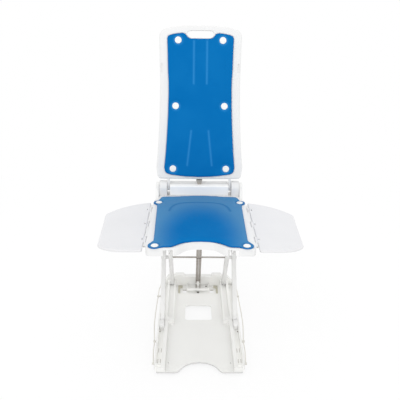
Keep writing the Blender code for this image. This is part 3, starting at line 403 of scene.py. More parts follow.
    def pick(self, what: Pick, test: Callable[[Vector, Vector], bool]) -> int:
        """Selects faces or edges by their place, in edit mode.

        Args:
            what: faces or edges.
            test: says yes for a middle and a normal, or for an edge's middle and direction.

        Returns:
            How many were selected.
        """
        bpy.ops.mesh.select_mode(type=what.value)
        bpy.ops.mesh.select_all(action="DESELECT")
        shape = bmesh.from_edit_mesh(self.item.data)
        shape.normal_update()
        count = 0
        parts = shape.faces if what is Pick.FACES else shape.edges
        for part in parts:
            if what is Pick.FACES:
                chosen = test(part.calc_center_median(), part.normal)
            else:
                first, second = part.verts
                chosen = test((first.co + second.co) / 2, (second.co - first.co).normalized())
            if chosen:
                part.select_set(True)
                count += 1
        bmesh.update_edit_mesh(self.item.data)
        return count

    def bevel(self, test: Callable[[Vector, Vector], bool], width: float, segments: int) -> "Workpiece":
        """Rounds chosen edges.

        Args:
            test: says yes for an edge's middle and direction.
            width: how wide the rounding is.
            segments: faces across it.

        Returns:
            This piece.
        """
        with self.editing():
            if self.pick(Pick.EDGES, test):
                bpy.ops.mesh.bevel(offset=width, segments=segments, affect="EDGES", clamp_overlap=True)
        return self

    def apply(self, kind: str, **settings: Any) -> "Workpiece":
        """Adds a modifier with its settings and applies it.

        Args:
            kind: the modifier's type.
            settings: its settings.

        Returns:
            This piece.
        """
        step = self.item.modifiers.new(kind.lower(), kind)
        for key, value in settings.items():
            setattr(step, key, value)
        self.activate()
        bpy.ops.object.modifier_apply(modifier=step.name)
        return self

    def _combine(self, tool: "Workpiece", operation: str) -> "Workpiece":
        """Joins or cuts with another piece, which is used up.

        Args:
            tool: the other piece.
            operation: UNION or DIFFERENCE.

        Returns:
            This piece.
        """
        self.apply("BOOLEAN", operation=operation, solver="EXACT", object=tool.item)
        bpy.data.objects.remove(tool.item, do_unlink=True)
        return self

    def cut(self, tool: "Workpiece") -> "Workpiece":
        """Cuts another piece out of this one."""
        return self._combine(tool, "DIFFERENCE")

    def join(self, tool: "Workpiece") -> "Workpiece":
        """Joins another piece to this one as one solid."""
        return self._combine(tool, "UNION")

    def gather(self, others: Sequence["Workpiece"]) -> "Workpiece":
        """Takes other pieces into this object as they are.

        Args:
            others: the other pieces.

        Returns:
            This piece.
        """
        self.activate()
        for other in others:
            other.item.select_set(True)
        bpy.ops.object.join()
        return self

    def soften(self, width: float, segments: int = 2, angle: float = 30.0) -> "Workpiece":
        """Rounds every edge that is sharper than an angle, and evens out the shading.

        Args:
            width: how wide the rounding is.
            segments: faces across it.
            angle: the angle in degrees.

        Returns:
            This piece.
        """
        self.item.data.shade_smooth()
        self.apply("BEVEL", width=width, segments=segments, limit_method="ANGLE",
                   angle_limit=math.radians(angle), use_clamp_overlap=True, miter_outer="MITER_ARC")
        return self.even_shading()

    def even_shading(self, angle: float = 60.0) -> "Workpiece":
        """Shades flat faces flat and the roundings between them smooth.

        Args:
            angle: angle in degrees past which an edge stays sharp.

        Returns:
            This piece.
        """
        self.activate()
        bpy.ops.object.shade_smooth_by_angle(angle=math.radians(angle), keep_sharp_edges=False)
        self.apply("WEIGHTED_NORMAL", keep_sharp=True, weight=80, mode="FACE_AREA")
        return self

    def move(self, matrix: Matrix) -> "Workpiece":
        """Moves the mesh itself, so that its object stays at the origin."""
        self.item.data.transform(matrix)
        return self

    def shift_points(self, where: Callable[[Vector], Vector]) -> "Workpiece":
        """Moves every point of the mesh to where a function says.

        Args:
            where: gives a point's new place.

        Returns:
            This piece.
        """
        for vertex in self.item.data.vertices:
            vertex.co = where(vertex.co)
        self.item.data.update()
        return self


# Shader recipes

Value = Union["Wire", float]


class Wire:
    """A shader socket that takes part in sums."""

    def __init__(self, board: "Board", socket: bpy.types.NodeSocket) -> None:
        """Keeps the socket and the board that it belongs to."""
        self.board = board
        self.socket = socket

    def _sum(self, operation: str, first: Value, second: Value) -> "Wire":
        """Adds a Math node for two values."""
        made = self.board.node("ShaderNodeMath", {"operation": operation}, {0: first, 1: second})
        return Wire(self.board, made.outputs[0])

    def __add__(self, other: Value) -> "Wire":
        """Adds."""
        return self._sum("ADD", self, other)

    __radd__ = __add__

    def __mul__(self, other: Value) -> "Wire":
        """Multiplies."""
        return self._sum("MULTIPLY", self, other)

    __rmul__ = __mul__

    def __sub__(self, other: Value) -> "Wire":
        """Subtracts."""
        return self._sum("SUBTRACT", self, other)

    def __rsub__(self, other: Value) -> "Wire":
        """Subtracts this from a number."""
        return self._sum("SUBTRACT", other, self)

    def __truediv__(self, other: Value) -> "Wire":
        """Divides."""
        return self._sum("DIVIDE", self, other)

    def __rtruediv__(self, other: Value) -> "Wire":
        """Divides a number by this."""
        return self._sum("DIVIDE", other, self)

    def __pow__(self, other: Value) -> "Wire":
        """Raises to a power."""
        return self._sum("POWER", self, other)

    def __rpow__(self, other: Value) -> "Wire":
        """Raises a number to this power."""
        return self._sum("POWER", other, self)

    def most(self, other: Value) -> "Wire":
        """Keeps the larger of two."""
        return self._sum("MAXIMUM", self, other)

    def sine(self) -> "Wire":
        """Gives the sine."""
        return self._sum("SINE", self, 0.0)

    def between(self, low: float, high: float) -> "Wire":
        """Rises smoothly from 0 to 1.

        Args:
            low: value at which it leaves 0.
            high: value at which it reaches 1.

        Returns:
            The risen value.
        """
        made = self.board.node("ShaderNodeMapRange", {"interpolation_type": "SMOOTHSTEP"},
                               {"Value": self, "From Min": low, "From Max": high})
        return Wire(self.board, made.outputs[0])


class Board:
    """The shader nodes of a material or of the world."""

    def __init__(self, owner: Union[bpy.types.Material, bpy.types.World]) -> None:
        """Clears the owner's nodes.

        Args:
            owner: the material or the world.
        """
        owner.use_nodes = True
        self.tree = owner.node_tree
        self.tree.nodes.clear()

    def node(self, kind: str, settings: Optional[dict[str, Any]] = None,
             sockets: Optional[dict[Union[str, int], Any]] = None) -> bpy.types.Node:
        """Adds a node.

        Args:
            kind: the node's type.
            settings: its own settings, such as the operation of a Math node.
            sockets: values or links of its inputs.

        Returns:
            The new node.
        """
        made = self.tree.nodes.new(kind)
        for key, value in (settings or {}).items():
            setattr(made, key, value)
        for key, value in (sockets or {}).items():
            self.feed(made.inputs[key], value)
        return made

    def feed(self, socket: bpy.types.NodeSocket, value: Any) -> None:
        """Links a wire or a socket to an input, or sets its value.

        Args:
            socket: the input.
            value: a wire, a socket, a colour or a number.
        """
        if isinstance(value, Wire):
            self.tree.links.new(value.socket, socket)
        elif isinstance(value, bpy.types.NodeSocket):
            self.tree.links.new(value, socket)
        elif isinstance(value, tuple) and len(value) == 3 and socket.type == "RGBA":
            socket.default_value = (*value, 1.0)
        else:
            socket.default_value = value

    def seen(self) -> Wire:
        """Gives 1 for what the camera sees, also in mirrors and through glass.

        Returns:
            The part as a wire.
        """
        rays = self.node("ShaderNodeLightPath")
        camera, glossy, glass = (Wire(self, rays.outputs["Is " + kind + " Ray"])
                                 for kind in ("Camera", "Glossy", "Transmission"))
        return camera.most(glossy).most(glass)


class Recipe(Board):
    """Builds one material from nodes."""

    def __init__(self, name: str) -> None:
        """Starts with a Principled shader on the output.

        Args:
            name: name of the material.
        """
        self.material = bpy.data.materials.new(name)
        super().__init__(self.material)
        self.output = self.node("ShaderNodeOutputMaterial")
        self.shader = self.node("ShaderNodeBsdfPrincipled")
        self.feed(self.output.inputs["Surface"], self.shader.outputs[0])
        self.place = self.node("ShaderNodeTexCoord").outputs["Object"]

    def stored(self, name: str) -> Wire:
        """Gives a number that the mesh stores under a name."""
        return Wire(self, self.node("ShaderNodeAttribute", {"attribute_name": name}).outputs["Fac"])

    def axes(self) -> tuple[Wire, Wire, Wire]:
        """Gives the object's own coordinates as three wires."""
        split = self.node("ShaderNodeSeparateXYZ", None, {0: self.place})
        return tuple(Wire(self, output) for output in split.outputs)

    def noise(self, scale: float, detail: float = 2.0, rough: float = 0.5,
              stretch: Place = (1.0, 1.0, 1.0)) -> Wire:
        """Gives a noise between 0 and 1.

        Args:
            scale: patches per metre.
            detail: how many finer layers it has.
            rough: how strong they are.
            stretch: scale of each axis.

        Returns:
            The noise as a wire.
        """
        mapped = self.node("ShaderNodeMapping", None, {0: self.place, "Scale": stretch})
        made = self.node("ShaderNodeTexNoise", None, {"Vector": mapped.outputs[0], "Scale": scale,
                                                      "Detail": detail, "Roughness": rough})
        return Wire(self, made.outputs["Fac"])

    def cells(self, scale: float) -> Wire:
        """Gives the distance to the edges of a pattern of cells, of which there are so many in a metre."""
        made = self.node("ShaderNodeTexVoronoi", {"feature": "DISTANCE_TO_EDGE"},
                         {"Vector": self.place, "Scale": scale})
        return Wire(self, made.outputs["Distance"])

    def blend(self, part: Value, low: Any, high: Any) -> bpy.types.NodeSocket:
        """Mixes two colours.

        Args:
            part: how much of the second colour shows.
            low: first colour or link.
            high: second colour or link.

        Returns:
            The mixed colour's socket.
        """
        return self.node("ShaderNodeMix", {"data_type": "RGBA"}, {0: part, 6: low, 7: high}).outputs[2]

    def bump(self, height: Wire, strength: float, reach: float, under: Any = None) -> bpy.types.NodeSocket:
        """Turns a height into a normal.

        Args:
            height: the height, about 0 to 1.
            strength: how much of it shows.
            reach: what a height of 1 stands for, in metres.
            under: a normal that lies under it.

        Returns:
            The normal's socket.
        """
        sockets = {"Height": height, "Strength": strength, "Distance": reach}
        if under is not None:
            sockets["Normal"] = under
        return self.node("ShaderNodeBump", None, sockets).outputs[0]

    def finish(self, **sockets: Any) -> bpy.types.Material:
        """Sets the shader's own sockets.

        Args:
            sockets: value or link of each socket, whose name has _ for a space.

        Returns:
            The finished material.
        """
        for key, value in sockets.items():
            self.feed(self.shader.inputs[key.replace("_", " ")], value)
        return self.material


# Finishes

@dataclass(frozen=True)
class MouldedPlastic:
    """Injection-moulded plastic with a fine spark-eroded grain."""

    name: str
    colour: Colour
    shade: Colour
    roughness: float = 0.42
    grain: float = 0.10
    # Painted light: a lighter colour that comes in along Y over faces that lie in shade
    far: Optional[Colour] = None
    start: float = -0.36
    full: float = 0.20
    stop: float = 0.2145
    # Painted shade: a darker colour for faces that store 1 as edge
    edge: Optional[Colour] = None
    edge_top: float = 0.0172

    def make(self) -> bpy.types.Material:
        """Builds the material.

        A far colour, painted light for faces that lie in shade, comes in along Y up to a stop. An edge
        colour, a painted shade, comes in on faces that store 1 as edge, below the edge's top, and the far
        colour, as painted light, on those that store -1.

        Returns:
            The material.
        """
        recipe = Recipe(self.name)
        cloud = recipe.noise(7.0, 3.0).between(0.30, 0.72)
        flow = recipe.noise(26.0, 2.0, stretch=(1.0, 0.35, 0.35)).between(0.35, 0.75)
        speck = recipe.noise(420.0, 1.0).between(0.66, 0.80)
        colour = recipe.blend(cloud * 0.65 + flow * 0.25, self.colour, self.shade)
        # Painted light, rising along Y
        if self.far:
            along = recipe.axes()[1]
            rise = ((along - self.start) / (self.full - self.start)).between(0.0, 1.0)
            colour = recipe.blend(rise * ((self.stop - along) / 0.001).between(0.0, 1.0), colour, self.far)
        # Painted shade on faces marked 1, painted light on faces marked -1
        if self.edge:
            mark = recipe.stored("edge")
            low = ((self.edge_top - recipe.axes()[2]) / 0.0006).between(0.0, 1.0)
            colour = recipe.blend(mark * low, colour, self.edge)
            colour = recipe.blend(mark * -1.0, colour, self.far)
        colour = recipe.blend(speck * 0.05, colour, tuple(part * 0.72 for part in self.colour))
        pits = recipe.noise(1500.0, 2.0, 0.6)
        soft = recipe.bump(recipe.noise(60.0, 1.0), 0.05, 0.0006)
        rough = pits * 0.10 + cloud * 0.05 + (self.roughness - 0.07)
        return recipe.finish(Base_Color=colour, Roughness=rough,
                             Normal=recipe.bump(pits, self.grain, 0.0002, soft), IOR=1.5)


@dataclass(frozen=True)
class CoverFoam:
    """Skinned blue foam of the covers, with a fine leather-like grain."""

    name: str
    colour: Colour
    light: Colour
    # Painted shade: the darker blue along the cover's side, where the gap to the shell falls in shade
    deep: Colour
    # Painted highlight on the backrest's moulded lines and painted shade in the seat's bow, also in a ring
    # round each stud
    line: Colour
    # Painted sheen: how far the blue turns to a greyer colour away from the seat's front middle, as a grazing
    # light would show
    painted_sheen: float = 0.0
    sheen_colour: Colour = (0.100, 0.270, 0.440)
    sheen_middle: float = -0.20
    sheen_reach: Point = (0.19, 0.34)
    roughness: float = 0.46

    def make(self) -> bpy.types.Material:
        """Builds the material.

        The mesh stores where colour is painted: along the moulded lines and in a ring round each stud, a
        painted highlight on the backrest and a painted shade on the seat; along the cover's side, a painted
        shade of the gap. The seat's cover also gets a painted sheen toward its rear and sides.

        Returns:
            The material.
        """
        recipe = Recipe(self.name)
        painted_line_shading, rim = recipe.stored("moulded"), recipe.stored("rim")
        cloud = recipe.noise(9.0, 3.0).between(0.30, 0.75)
        colour = recipe.blend(cloud * 0.18, self.colour, self.light)
        # Painted sheen: a greyer blue toward the seat's rear and sides
        if self.painted_sheen:
            across, along, _ = recipe.axes()
            wide, long = self.sheen_reach
            away = (across / wide) ** 2.0 + ((along - self.sheen_middle) / long) ** 2.0
            colour = recipe.blend(away.between(0.10, 0.85) * self.painted_sheen, colour, self.sheen_colour)
        # Painted shade along the cover's side
        colour = recipe.blend(rim * 0.80, colour, self.deep)
        # Painted highlight on the backrest, painted shade on the seat, along the moulded lines and round the
        # studs
        colour = recipe.blend(painted_line_shading * 0.75, colour, self.line)
        hide = recipe.cells(620.0).between(0.0, 0.12)
        pits = recipe.noise(1900.0, 2.0, 0.6)
        height = hide * 0.7 + pits * 0.3
        soft = recipe.bump(recipe.noise(45.0, 2.0), 0.10, 0.0010)
        return recipe.finish(Base_Color=colour, Roughness=pits * 0.12 + (self.roughness - 0.06),
                             Normal=recipe.bump(height, 0.16, 0.0003, soft), Specular_IOR_Level=0.03,
                             Sheen_Weight=0.02, Sheen_Roughness=0.35)


@dataclass(frozen=True)
class DrawnSteel:
    """Plain drawn steel with fine lines along the bar and faint stains."""

    name: str
    colour: Colour
    stain: Colour
    roughness: float = 0.32
    stretch: Place = (1.0, 1.0, 1.0)

    def make(self) -> bpy.types.Material:
        """Builds the material.

        Returns:
            The material.
        """
        recipe = Recipe(self.name)
        lines = recipe.noise(900.0, 2.0, 0.6, self.stretch)
        cloud = recipe.noise(22.0, 4.0).between(0.42, 0.78)
        colour = recipe.blend(cloud * 0.55, self.colour, self.stain)
        colour = recipe.blend(lines * 0.18, colour, tuple(part * 0.6 for part in self.colour))
        rough = lines * 0.14 + cloud * 0.12 + self.roughness
        return recipe.finish(Base_Color=colour, Metallic=1.0, Roughness=rough,
                             Normal=recipe.bump(lines, 0.10, 0.0002))


@dataclass(frozen=True)
class MouldedRubber:
    """Soft dark rubber with a dusty bloom."""

    name: str
    colour: Colour
    bloom: Colour

    def make(self) -> bpy.types.Material:
        """Builds the material.

        Returns:
            The material.
        """
        recipe = Recipe(self.name)
        dust = recipe.noise(40.0, 4.0, 0.65).between(0.42, 0.80)
        pits = recipe.noise(1300.0, 2.0, 0.6)
        colour = recipe.blend(dust * 0.5, self.colour, self.bloom)
        return recipe.finish(Base_Color=colour, Roughness=dust * 0.15 + 0.62,
                             Normal=recipe.bump(pits, 0.12, 0.0002))


@dataclass(frozen=True)
class BraidedCord:
    """Thin woven cord, with its strands in bands along its own length."""

    name: str
    colour: Colour
    shade: Colour
    pitch: float = 2600.0
    strands: float = 12.566

    def make(self) -> bpy.types.Material:
        """Builds the material.

        The mesh stores its metres along the cord as length, and its part of a turn round it as around.

        Returns:
            The material.
        """
        recipe = Recipe(self.name)
        along, around = recipe.stored("length") * self.pitch, recipe.stored("around") * self.strands
        weave = (along + around).sine().most((along - around).sine()).between(-0.6, 1.0)
        fuzz = recipe.noise(2400.0, 2.0, 0.7)
        colour = recipe.blend(weave * 0.8 + fuzz * 0.2, self.shade, self.colour)
        return recipe.finish(Base_Color=colour, Roughness=fuzz * 0.1 + 0.72,
                             Normal=recipe.bump(weave + fuzz * 0.3, 0.35, 0.0004))


class Finishes:
    """Every finish of the lift, made once."""

    def __init__(self) -> None:
        """Builds all the materials."""
        shell, shell_shade = (0.757, 0.757, 0.755), (0.732, 0.734, 0.733)
        self.white = MouldedPlastic("shell_white", shell, shell_shade).make()
        # The rear beam turns lighter along Y: painted light on a panel that lies in shade
        self.beam = MouldedPlastic("beam_white_painted_light", shell, shell_shade, far=(0.900, 0.900, 0.895),
                                   start=0.10, full=0.15, stop=0.2200).make()
        # The flaps' white is darker and bluer than the shell's: painted shade, with a bluish tint of the
        # light on their upward faces
        self.flap = MouldedPlastic("flap_white_painted_shade", (0.705, 0.705, 0.716), (0.685, 0.685, 0.696), 0.46).make()
        # The base's white is lighter than the shell's, and lighter still toward the rear: painted light
        # against the shade under the seat. Its front faces get a darker grey as painted shade.
        self.base = MouldedPlastic("base_white_painted_shading", (0.795, 0.795, 0.775), (0.772, 0.770, 0.750), 0.50, 0.14,
                                   (0.930, 0.928, 0.905), edge=(0.610, 0.610, 0.600)).make()
        # The pocket pads' darker tan is partly their own tone and partly painted shade of the pocket's deep
        # ends
        self.pad = MouldedPlastic("pad_cream", (0.620, 0.600, 0.500), (0.560, 0.535, 0.430), 0.55,
                                  0.16).make()
        self.arm = MouldedPlastic("arm_white", (0.800, 0.800, 0.790), (0.775, 0.774, 0.763), 0.44).make()
        self.stud = MouldedPlastic("stud_white", (0.830, 0.830, 0.820),
                                   (0.800, 0.800, 0.790), 0.34, 0.05).make()
        self.grey = MouldedPlastic("drive_grey", (0.250, 0.255, 0.270),
                                   (0.205, 0.210, 0.225), 0.50, 0.20).make()
        self.tan = MouldedPlastic("buffer_tan", (0.400, 0.375, 0.340),
                                  (0.330, 0.300, 0.260), 0.55, 0.16).make()
        self.blue = CoverFoam("cover_blue", (0.0, 0.136, 0.405), (0.008, 0.200, 0.500), (0.0, 0.095, 0.325),
                              (0.030, 0.240, 0.560)).make()
        # The seat's cover carries a painted sheen, greyer toward its rear and sides
        self.seat_sheen_blue = CoverFoam("seat_blue_painted_sheen", (0.0, 0.135, 0.400), (0.012, 0.205, 0.500), (0.0, 0.120, 0.380),
                              (0.016, 0.138, 0.350), 0.60).make()
        self.bar = DrawnSteel("lever_steel", (0.520, 0.490, 0.460), (0.350, 0.300, 0.260), 0.36,
                              (1.0, 0.08, 0.08)).make()
        self.knob = MouldedPlastic("knob_cream", (0.720, 0.710, 0.670), (0.660, 0.645, 0.590), 0.45).make()
        self.steel = DrawnSteel("bar_steel", (0.500, 0.470, 0.440), (0.330, 0.280, 0.240)).make()
        self.dark = DrawnSteel("motor_steel", (0.200, 0.190, 0.180), (0.120, 0.110, 0.100), 0.42).make()
        self.brass = DrawnSteel("nut_brass", (0.620, 0.470, 0.220), (0.420, 0.300, 0.140), 0.30).make()
        self.rubber = MouldedRubber("cup_rubber", (0.085, 0.085, 0.092), (0.190, 0.190, 0.195)).make()
        self.cord = BraidedCord("release_cord", (0.800, 0.790, 0.750), (0.640, 0.615, 0.540)).make()


def fit(work: Workpiece, finish: bpy.types.Material, body: str,
        nodes: Sequence[str] = ()) -> None:
    """Dresses a finished piece and hangs it on its body.

    Args:
        work: the finished piece.
        finish: its material.
        body: the CAD body that it moves with.
        nodes: the CAD nodes that it stands for.
    """
    work.item.data.materials.clear()
    work.item.data.materials.append(finish)
    for polygon in work.item.data.polygons:
        polygon.material_index = 0
    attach(work.item, body)
    if nodes:
        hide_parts(*nodes)
    LOG.info("%s: %d faces on %s, for %s", work.item.name, len(work.item.data.polygons), body, list(nodes))


# Covers

@dataclass
class PaddedCover:
    """A foam cover that is blown up by simulation between its studs."""

    name: str
    node: str
    body: str
    outline: Outline
    studs: list[Point]
    lines: list[list[Point]]
    place: Matrix
    finish: bpy.types.Material
    stud_radius: float = 0.0145
    stud_seat: float = 0.0042
    floor: float = 0.0003
    thickness: float = 0.0052
    mesh_size: float = 0.0058
    cap: float = 0.0040
    side_cap: float = 0.0007
    crown: float = 0.0026
    centre: Point = (0.0, 0.0)
    reach: Point = (0.17, 0.24)
    painted_line_width: float = 0.0036
    line_depth: float = 0.0011
    line_slope: float = 0.0018
    painted_halo: Point = (0.003, 0.0035)
    edge_round: float = 0.0026
    rim_shade_width: float = 0.0030
    dimple: float = 0.014
    held: float = 0.010
    pressure: float = 4.0
    frames: int = 20

    def build(self) -> None:
        """Makes the cover and puts it on its plate."""
        start = widened(self.outline, -self.side_cap)
        work = Workpiece.from_outline(self.name, start, self.floor, self.floor + self.thickness, View.ABOVE)
        work.bevel(lambda middle, along: middle.z > self.floor + self.thickness * 0.9, self.edge_round, 3)
        self._weave(work)
        self._inflate(work)
        self._settle(work)
        work.apply("SUBSURF", levels=1, render_levels=1)
        self._press(work)
        work.item.data.shade_smooth()
        work.move(self.place)
        fit(work, self.finish, self.body, [self.node])

    def _weave(self, work: Workpiece) -> None:
        """Cuts the slab along an even grid, so that it can swell and keeps its outline.

        Args:
            work: the slab.
        """
        for axis in (0, 1):
            values = [point[axis] for point in self.outline]
            count = round((max(values) - min(values)) / self.mesh_size)
            step = (max(values) - min(values)) / count
            normal = (1.0, 0.0, 0.0) if axis == 0 else (0.0, 1.0, 0.0)
            with work.editing():
                for number in range(1, count):
                    place = [0.0, 0.0, 0.0]
                    place[axis] = min(values) + number * step
                    bpy.ops.mesh.select_all(action="SELECT")
                    bpy.ops.mesh.bisect(plane_co=place, plane_no=normal)
        with work.editing():
            bpy.ops.mesh.select_all(action="SELECT")
            bpy.ops.mesh.remove_doubles(threshold=0.0009)
            work.turn_outwards()

    def _inflate(self, work: Workpiece) -> None:
        """Blows the pad up with cloth pressure and caps how far each point moves.

        Args:
            work: the pad.
        """
        before = [vertex.co.copy() for vertex in work.item.data.vertices]
        group = work.item.vertex_groups.new(name="held")
        for vertex in work.item.data.vertices:
            near = min((Vector(vertex.co[:2]) - Vector(stud)).length for stud in self.studs)
            group.add([vertex.index], clamped((self.stud_radius + self.held - near) / self.held), "REPLACE")
        cloth = work.item.modifiers.new("cloth", "CLOTH")
        cloth.settings.use_pressure = True
        cloth.settings.uniform_pressure_force = self.pressure
        cloth.settings.effector_weights.gravity = 0.0
        cloth.settings.vertex_group_mass = "held"
        cloth.settings.quality = 4
        scene = bpy.context.scene
        for step in range(1, self.frames + 1):
            scene.frame_set(step)
        work.activate()
        bpy.ops.object.modifier_apply(modifier=cloth.name)
        scene.frame_set(1)
        for vertex, old in zip(work.item.data.vertices, before):
            vertex.co = old + self._capped(vertex.co - old)
        work.item.data.update()

    def _capped(self, shift: Vector) -> Vector:
        """Limits a point's way: little sideways, more up.

        Args:
            shift: its way.

        Returns:
            The shorter way.
        """
        flat = Vector((shift.x, shift.y, 0.0))
        if flat.length > self.side_cap:
            flat = flat * (self.side_cap / flat.length)
        return Vector((flat.x, flat.y, max(-self.cap, min(self.cap, shift.z))))

    def _settle(self, work: Workpiece) -> None:
        """Rests the underside on the plate and raises the crown.

        Args:
            work: the pad.
        """
        with work.editing():
            if work.pick(Pick.FACES, lambda middle, normal: middle.z > self.floor + self.thickness * 0.8):
                bpy.ops.mesh.vertices_smooth(factor=0.5, repeat=3, xaxis=False, yaxis=False, zaxis=True)
        work.shift_points(self._settled)

    def _settled(self, point: Vector) -> Vector:
        """Raises a point with the crown, and keeps it above the plate.

        Args:
            point: the point before.

        Returns:
            Its new place.
        """
        across = (point.x - self.centre[0]) / self.reach[0]
        along = (point.y - self.centre[1]) / self.reach[1]
        dome = max(0.0, 1.0 - across ** 4) * max(0.0, 1.0 - along ** 4)
        top = clamped((point.z - self.floor) / self.thickness)
        return Vector((point.x, point.y, max(self.floor, point.z + self.crown * dome * top)))

    def _press(self, work: Workpiece) -> None:
        """Presses the studs' dimples and the moulded lines, and stores where the finish paints highlight and
        shade: the lines, a ring round each stud and the cover's side.

        Args:
            work: the pad.
        """
        data = work.item.data
        moulded = data.attributes.new("moulded", "FLOAT", "POINT")
        rim = data.attributes.new("rim", "FLOAT", "POINT")
        border = self.outline + self.outline[:1]
        for vertex in data.vertices:
            point = vertex.co
            top = point.z > self.floor + 0.001
            near = min((Vector(point[:2]) - Vector(stud)).length for stud in self.studs)
            limit = self.floor + self.stud_seat - 0.0004
            if top and near < self.stud_radius + self.dimple and point.z > limit:
                part = clamped((near - self.stud_radius) / self.dimple)
                part = part * part * (3 - 2 * part)
                point.z = limit + (point.z - limit) * part
            line = min((gap_to_line(point, line) for line in self.lines), default=1.0)
            if top:
                point.z -= self.line_depth * math.exp(-(line / self.line_slope) ** 2)
                # A ring round each stud, painted like the lines: the dimple's highlight on the backrest, its
                # shade on the seat
                painted_halo = math.exp(-((near - self.stud_radius - self.painted_halo[0]) / self.painted_halo[1]) ** 2)
                moulded.data[vertex.index].value = max(math.exp(-(line / self.painted_line_width) ** 2), 0.75 * painted_halo)
            # Painted shade of the gap: full on the underside and at the border of the top, fading inwards
            inside = gap_to_line(point, border)
            fade = clamped(1.6 - inside / self.rim_shade_width)
            rim.data[vertex.index].value = fade if top else 1.0
        data.update()


# Backrest

@dataclass
class Backrest:
    """The reclining backrest: moulded shell, blue cover, studs and hinge lugs."""

    finishes: Finishes
    hinge: Place = (0.0, 0.222, 0.488)
    lean: float = math.radians(11.1)
    foot: float = 0.0398
    front: float = -0.0135
    panel: float = 0.005
    rear: float = 0.0115
    rim_rise: float = 0.0014
    studs: list[Point] = field(default_factory=lambda: [(side * x, t) for x, t in (
        (0.1120, 0.0442), (0.1015, 0.3079), (0.0918, 0.5752)) for side in (-1, 1)])

    def stand(self) -> Matrix:
        """Gives the turn and place of the hinge."""
        return Matrix.Translation(self.hinge) @ Matrix.Rotation(-self.lean, 4, "X")

    def outline(self) -> Outline:
        """Draws the shell from the front.

        Returns:
            The shell's outline, above the hinge.
        """
        half = [(0.0, -0.0014)]
        half += arc((0.1615, 0.0166), 0.0166, -90, -5, 6)
        half += smooth([(0.1828, 0.049), (0.1760, 0.130), (0.1690, 0.265), (0.1664, 0.397), (0.1678, 0.490),
                        (0.1702, 0.588)], 5)
        half += smooth([(0.1690, 0.5990), (0.1625, 0.6105), (0.1490, 0.6200), (0.1280, 0.6262),
                        (0.1010, 0.6305), (0.0640, 0.6340)], 4)
        half += [(0.0, 0.6360)]
        return [(x, t + self.foot) for x, t in mirrored(half)]

    def slot(self) -> Outline:
        """Draws the hand slot.

        Returns:
            The slot's outline.
        """
        half = [(0.0, 0.5845), (0.0390, 0.5845)]
        half += smooth([(0.0450, 0.5870), (0.0520, 0.5960), (0.0545, 0.6030), (0.0520, 0.6110),
                        (0.0440, 0.6155)], 4)
        half += [(0.0, 0.6160)]
        return [(x, t + self.foot) for x, t in mirrored(half)]

    def cover_outline(self) -> Outline:
        """Draws the cover, flat, from its lower edge up.

        Returns:
            The cover's outline.
        """
        half = [(0.0, 0.0075)]
        half += smooth([(0.050, 0.0092), (0.0740, 0.0113), (0.1077, 0.0160), (0.130, 0.0202),
                        (0.1440, 0.0292), (0.1495, 0.0490)], 5)
        half += smooth([(0.1432, 0.120), (0.1382, 0.200), (0.1335, 0.294), (0.1320, 0.397), (0.1345, 0.458),
                        (0.1374, 0.583)], 5)
        half += smooth([(0.1340, 0.5915), (0.1260, 0.5960), (0.1030, 0.6015), (0.0740, 0.6052)], 4)
        half += smooth([(0.0620, 0.6010), (0.0545, 0.5905), (0.0460, 0.5843), (0.0380, 0.5830)], 4)
        half += [(0.0, 0.5830)]
        return mirrored(half)

    def build(self) -> None:
        """Makes every piece of the backrest."""
        self.make_shell()
        self.make_cover()
        self.make_studs()

    def make_shell(self) -> None:
        """Makes the shell: rounded front, recess for the cover, hand slot, ribs and lugs."""
        face = self.front - self.rim_rise
        shell = Workpiece.from_outline("backrest_shell", self.outline(), face, self.rear, View.FRONT)
        shell.bevel(lambda middle, along: middle.y < face + HAIR, 0.0075, 5)
        shell.bevel(lambda middle, along: middle.y > self.rear - HAIR, 0.0025, 2)
        recess = [(x, t + self.foot) for x, t in widened(self.cover_outline(), 0.0016)]
        shell.cut(Workpiece.from_outline("recess", recess, face - OVERHANG, self.front, View.FRONT))
        shell.cut(self._pockets())
        shell.cut(Workpiece.from_outline("slot", self.slot(), -0.05, 0.05, View.FRONT))
        for side, _ in LEFT_RIGHT:
            shell.join(self._lug(side))
            low, high = spread(side, 0.110, 0.140)
            shell.cut(Workpiece.bar("bore", (low, 0.0, 0.0), (high, 0.0, 0.0), BORE, 20))
            notch = rounded_rectangle((0.0, 0.0), (0.0085, 0.034), 0.0025, 3)
            notch = [(side * (0.1545 + x), 0.4465 + self.foot + t) for x, t in notch]
            shell.cut(Workpiece.from_outline("notch", notch, face - OVERHANG, face + 0.0030, View.FRONT))
        shell.soften(0.0009, 2, 32.0)
        shell.move(self.stand())
        fit(shell, self.finishes.white, "backrest", ["backrest_plate"])

    def _pockets(self) -> Workpiece:
        """Makes the cutter of the pockets between the ribs of the rear side.

        Returns:
            The cutter, of all the pockets together.
        """
        columns = ((-0.1560, -0.0800), (-0.0765, -0.0018), (0.0018, 0.0765), (0.0800, 0.1560))
        rows = ((0.008, 0.118), (0.122, 0.232), (0.236, 0.346), (0.350, 0.460), (0.464, 0.566))
        floor, above = self.front + self.panel, self.rear + OVERHANG
        pieces = []
        for left, right in columns:
            for low, high in rows:
                pocket = rounded_rectangle((left, low + self.foot), (right, high + self.foot), 0.008)
                pieces.append(Workpiece.from_outline("pocket", pocket, floor, above, View.FRONT))
        return pieces[0].gather(pieces[1:])

    def _lug(self, side: int) -> Workpiece:
        """Makes one hinge lug under the shell.

        Args:
            side: -1 for left, 1 for right.

        Returns:
            The lug.
        """
        low, high = spread(side, 0.1262, 0.1352)
        lug = arc((0.0, 0.0), 0.0118, 180, 360, 14)
        lug += [(0.0105, self.foot + 0.030), (self.front + 0.004, self.foot + 0.030)]
        return Workpiece.from_outline("lug", lug, low, high, View.SIDE)

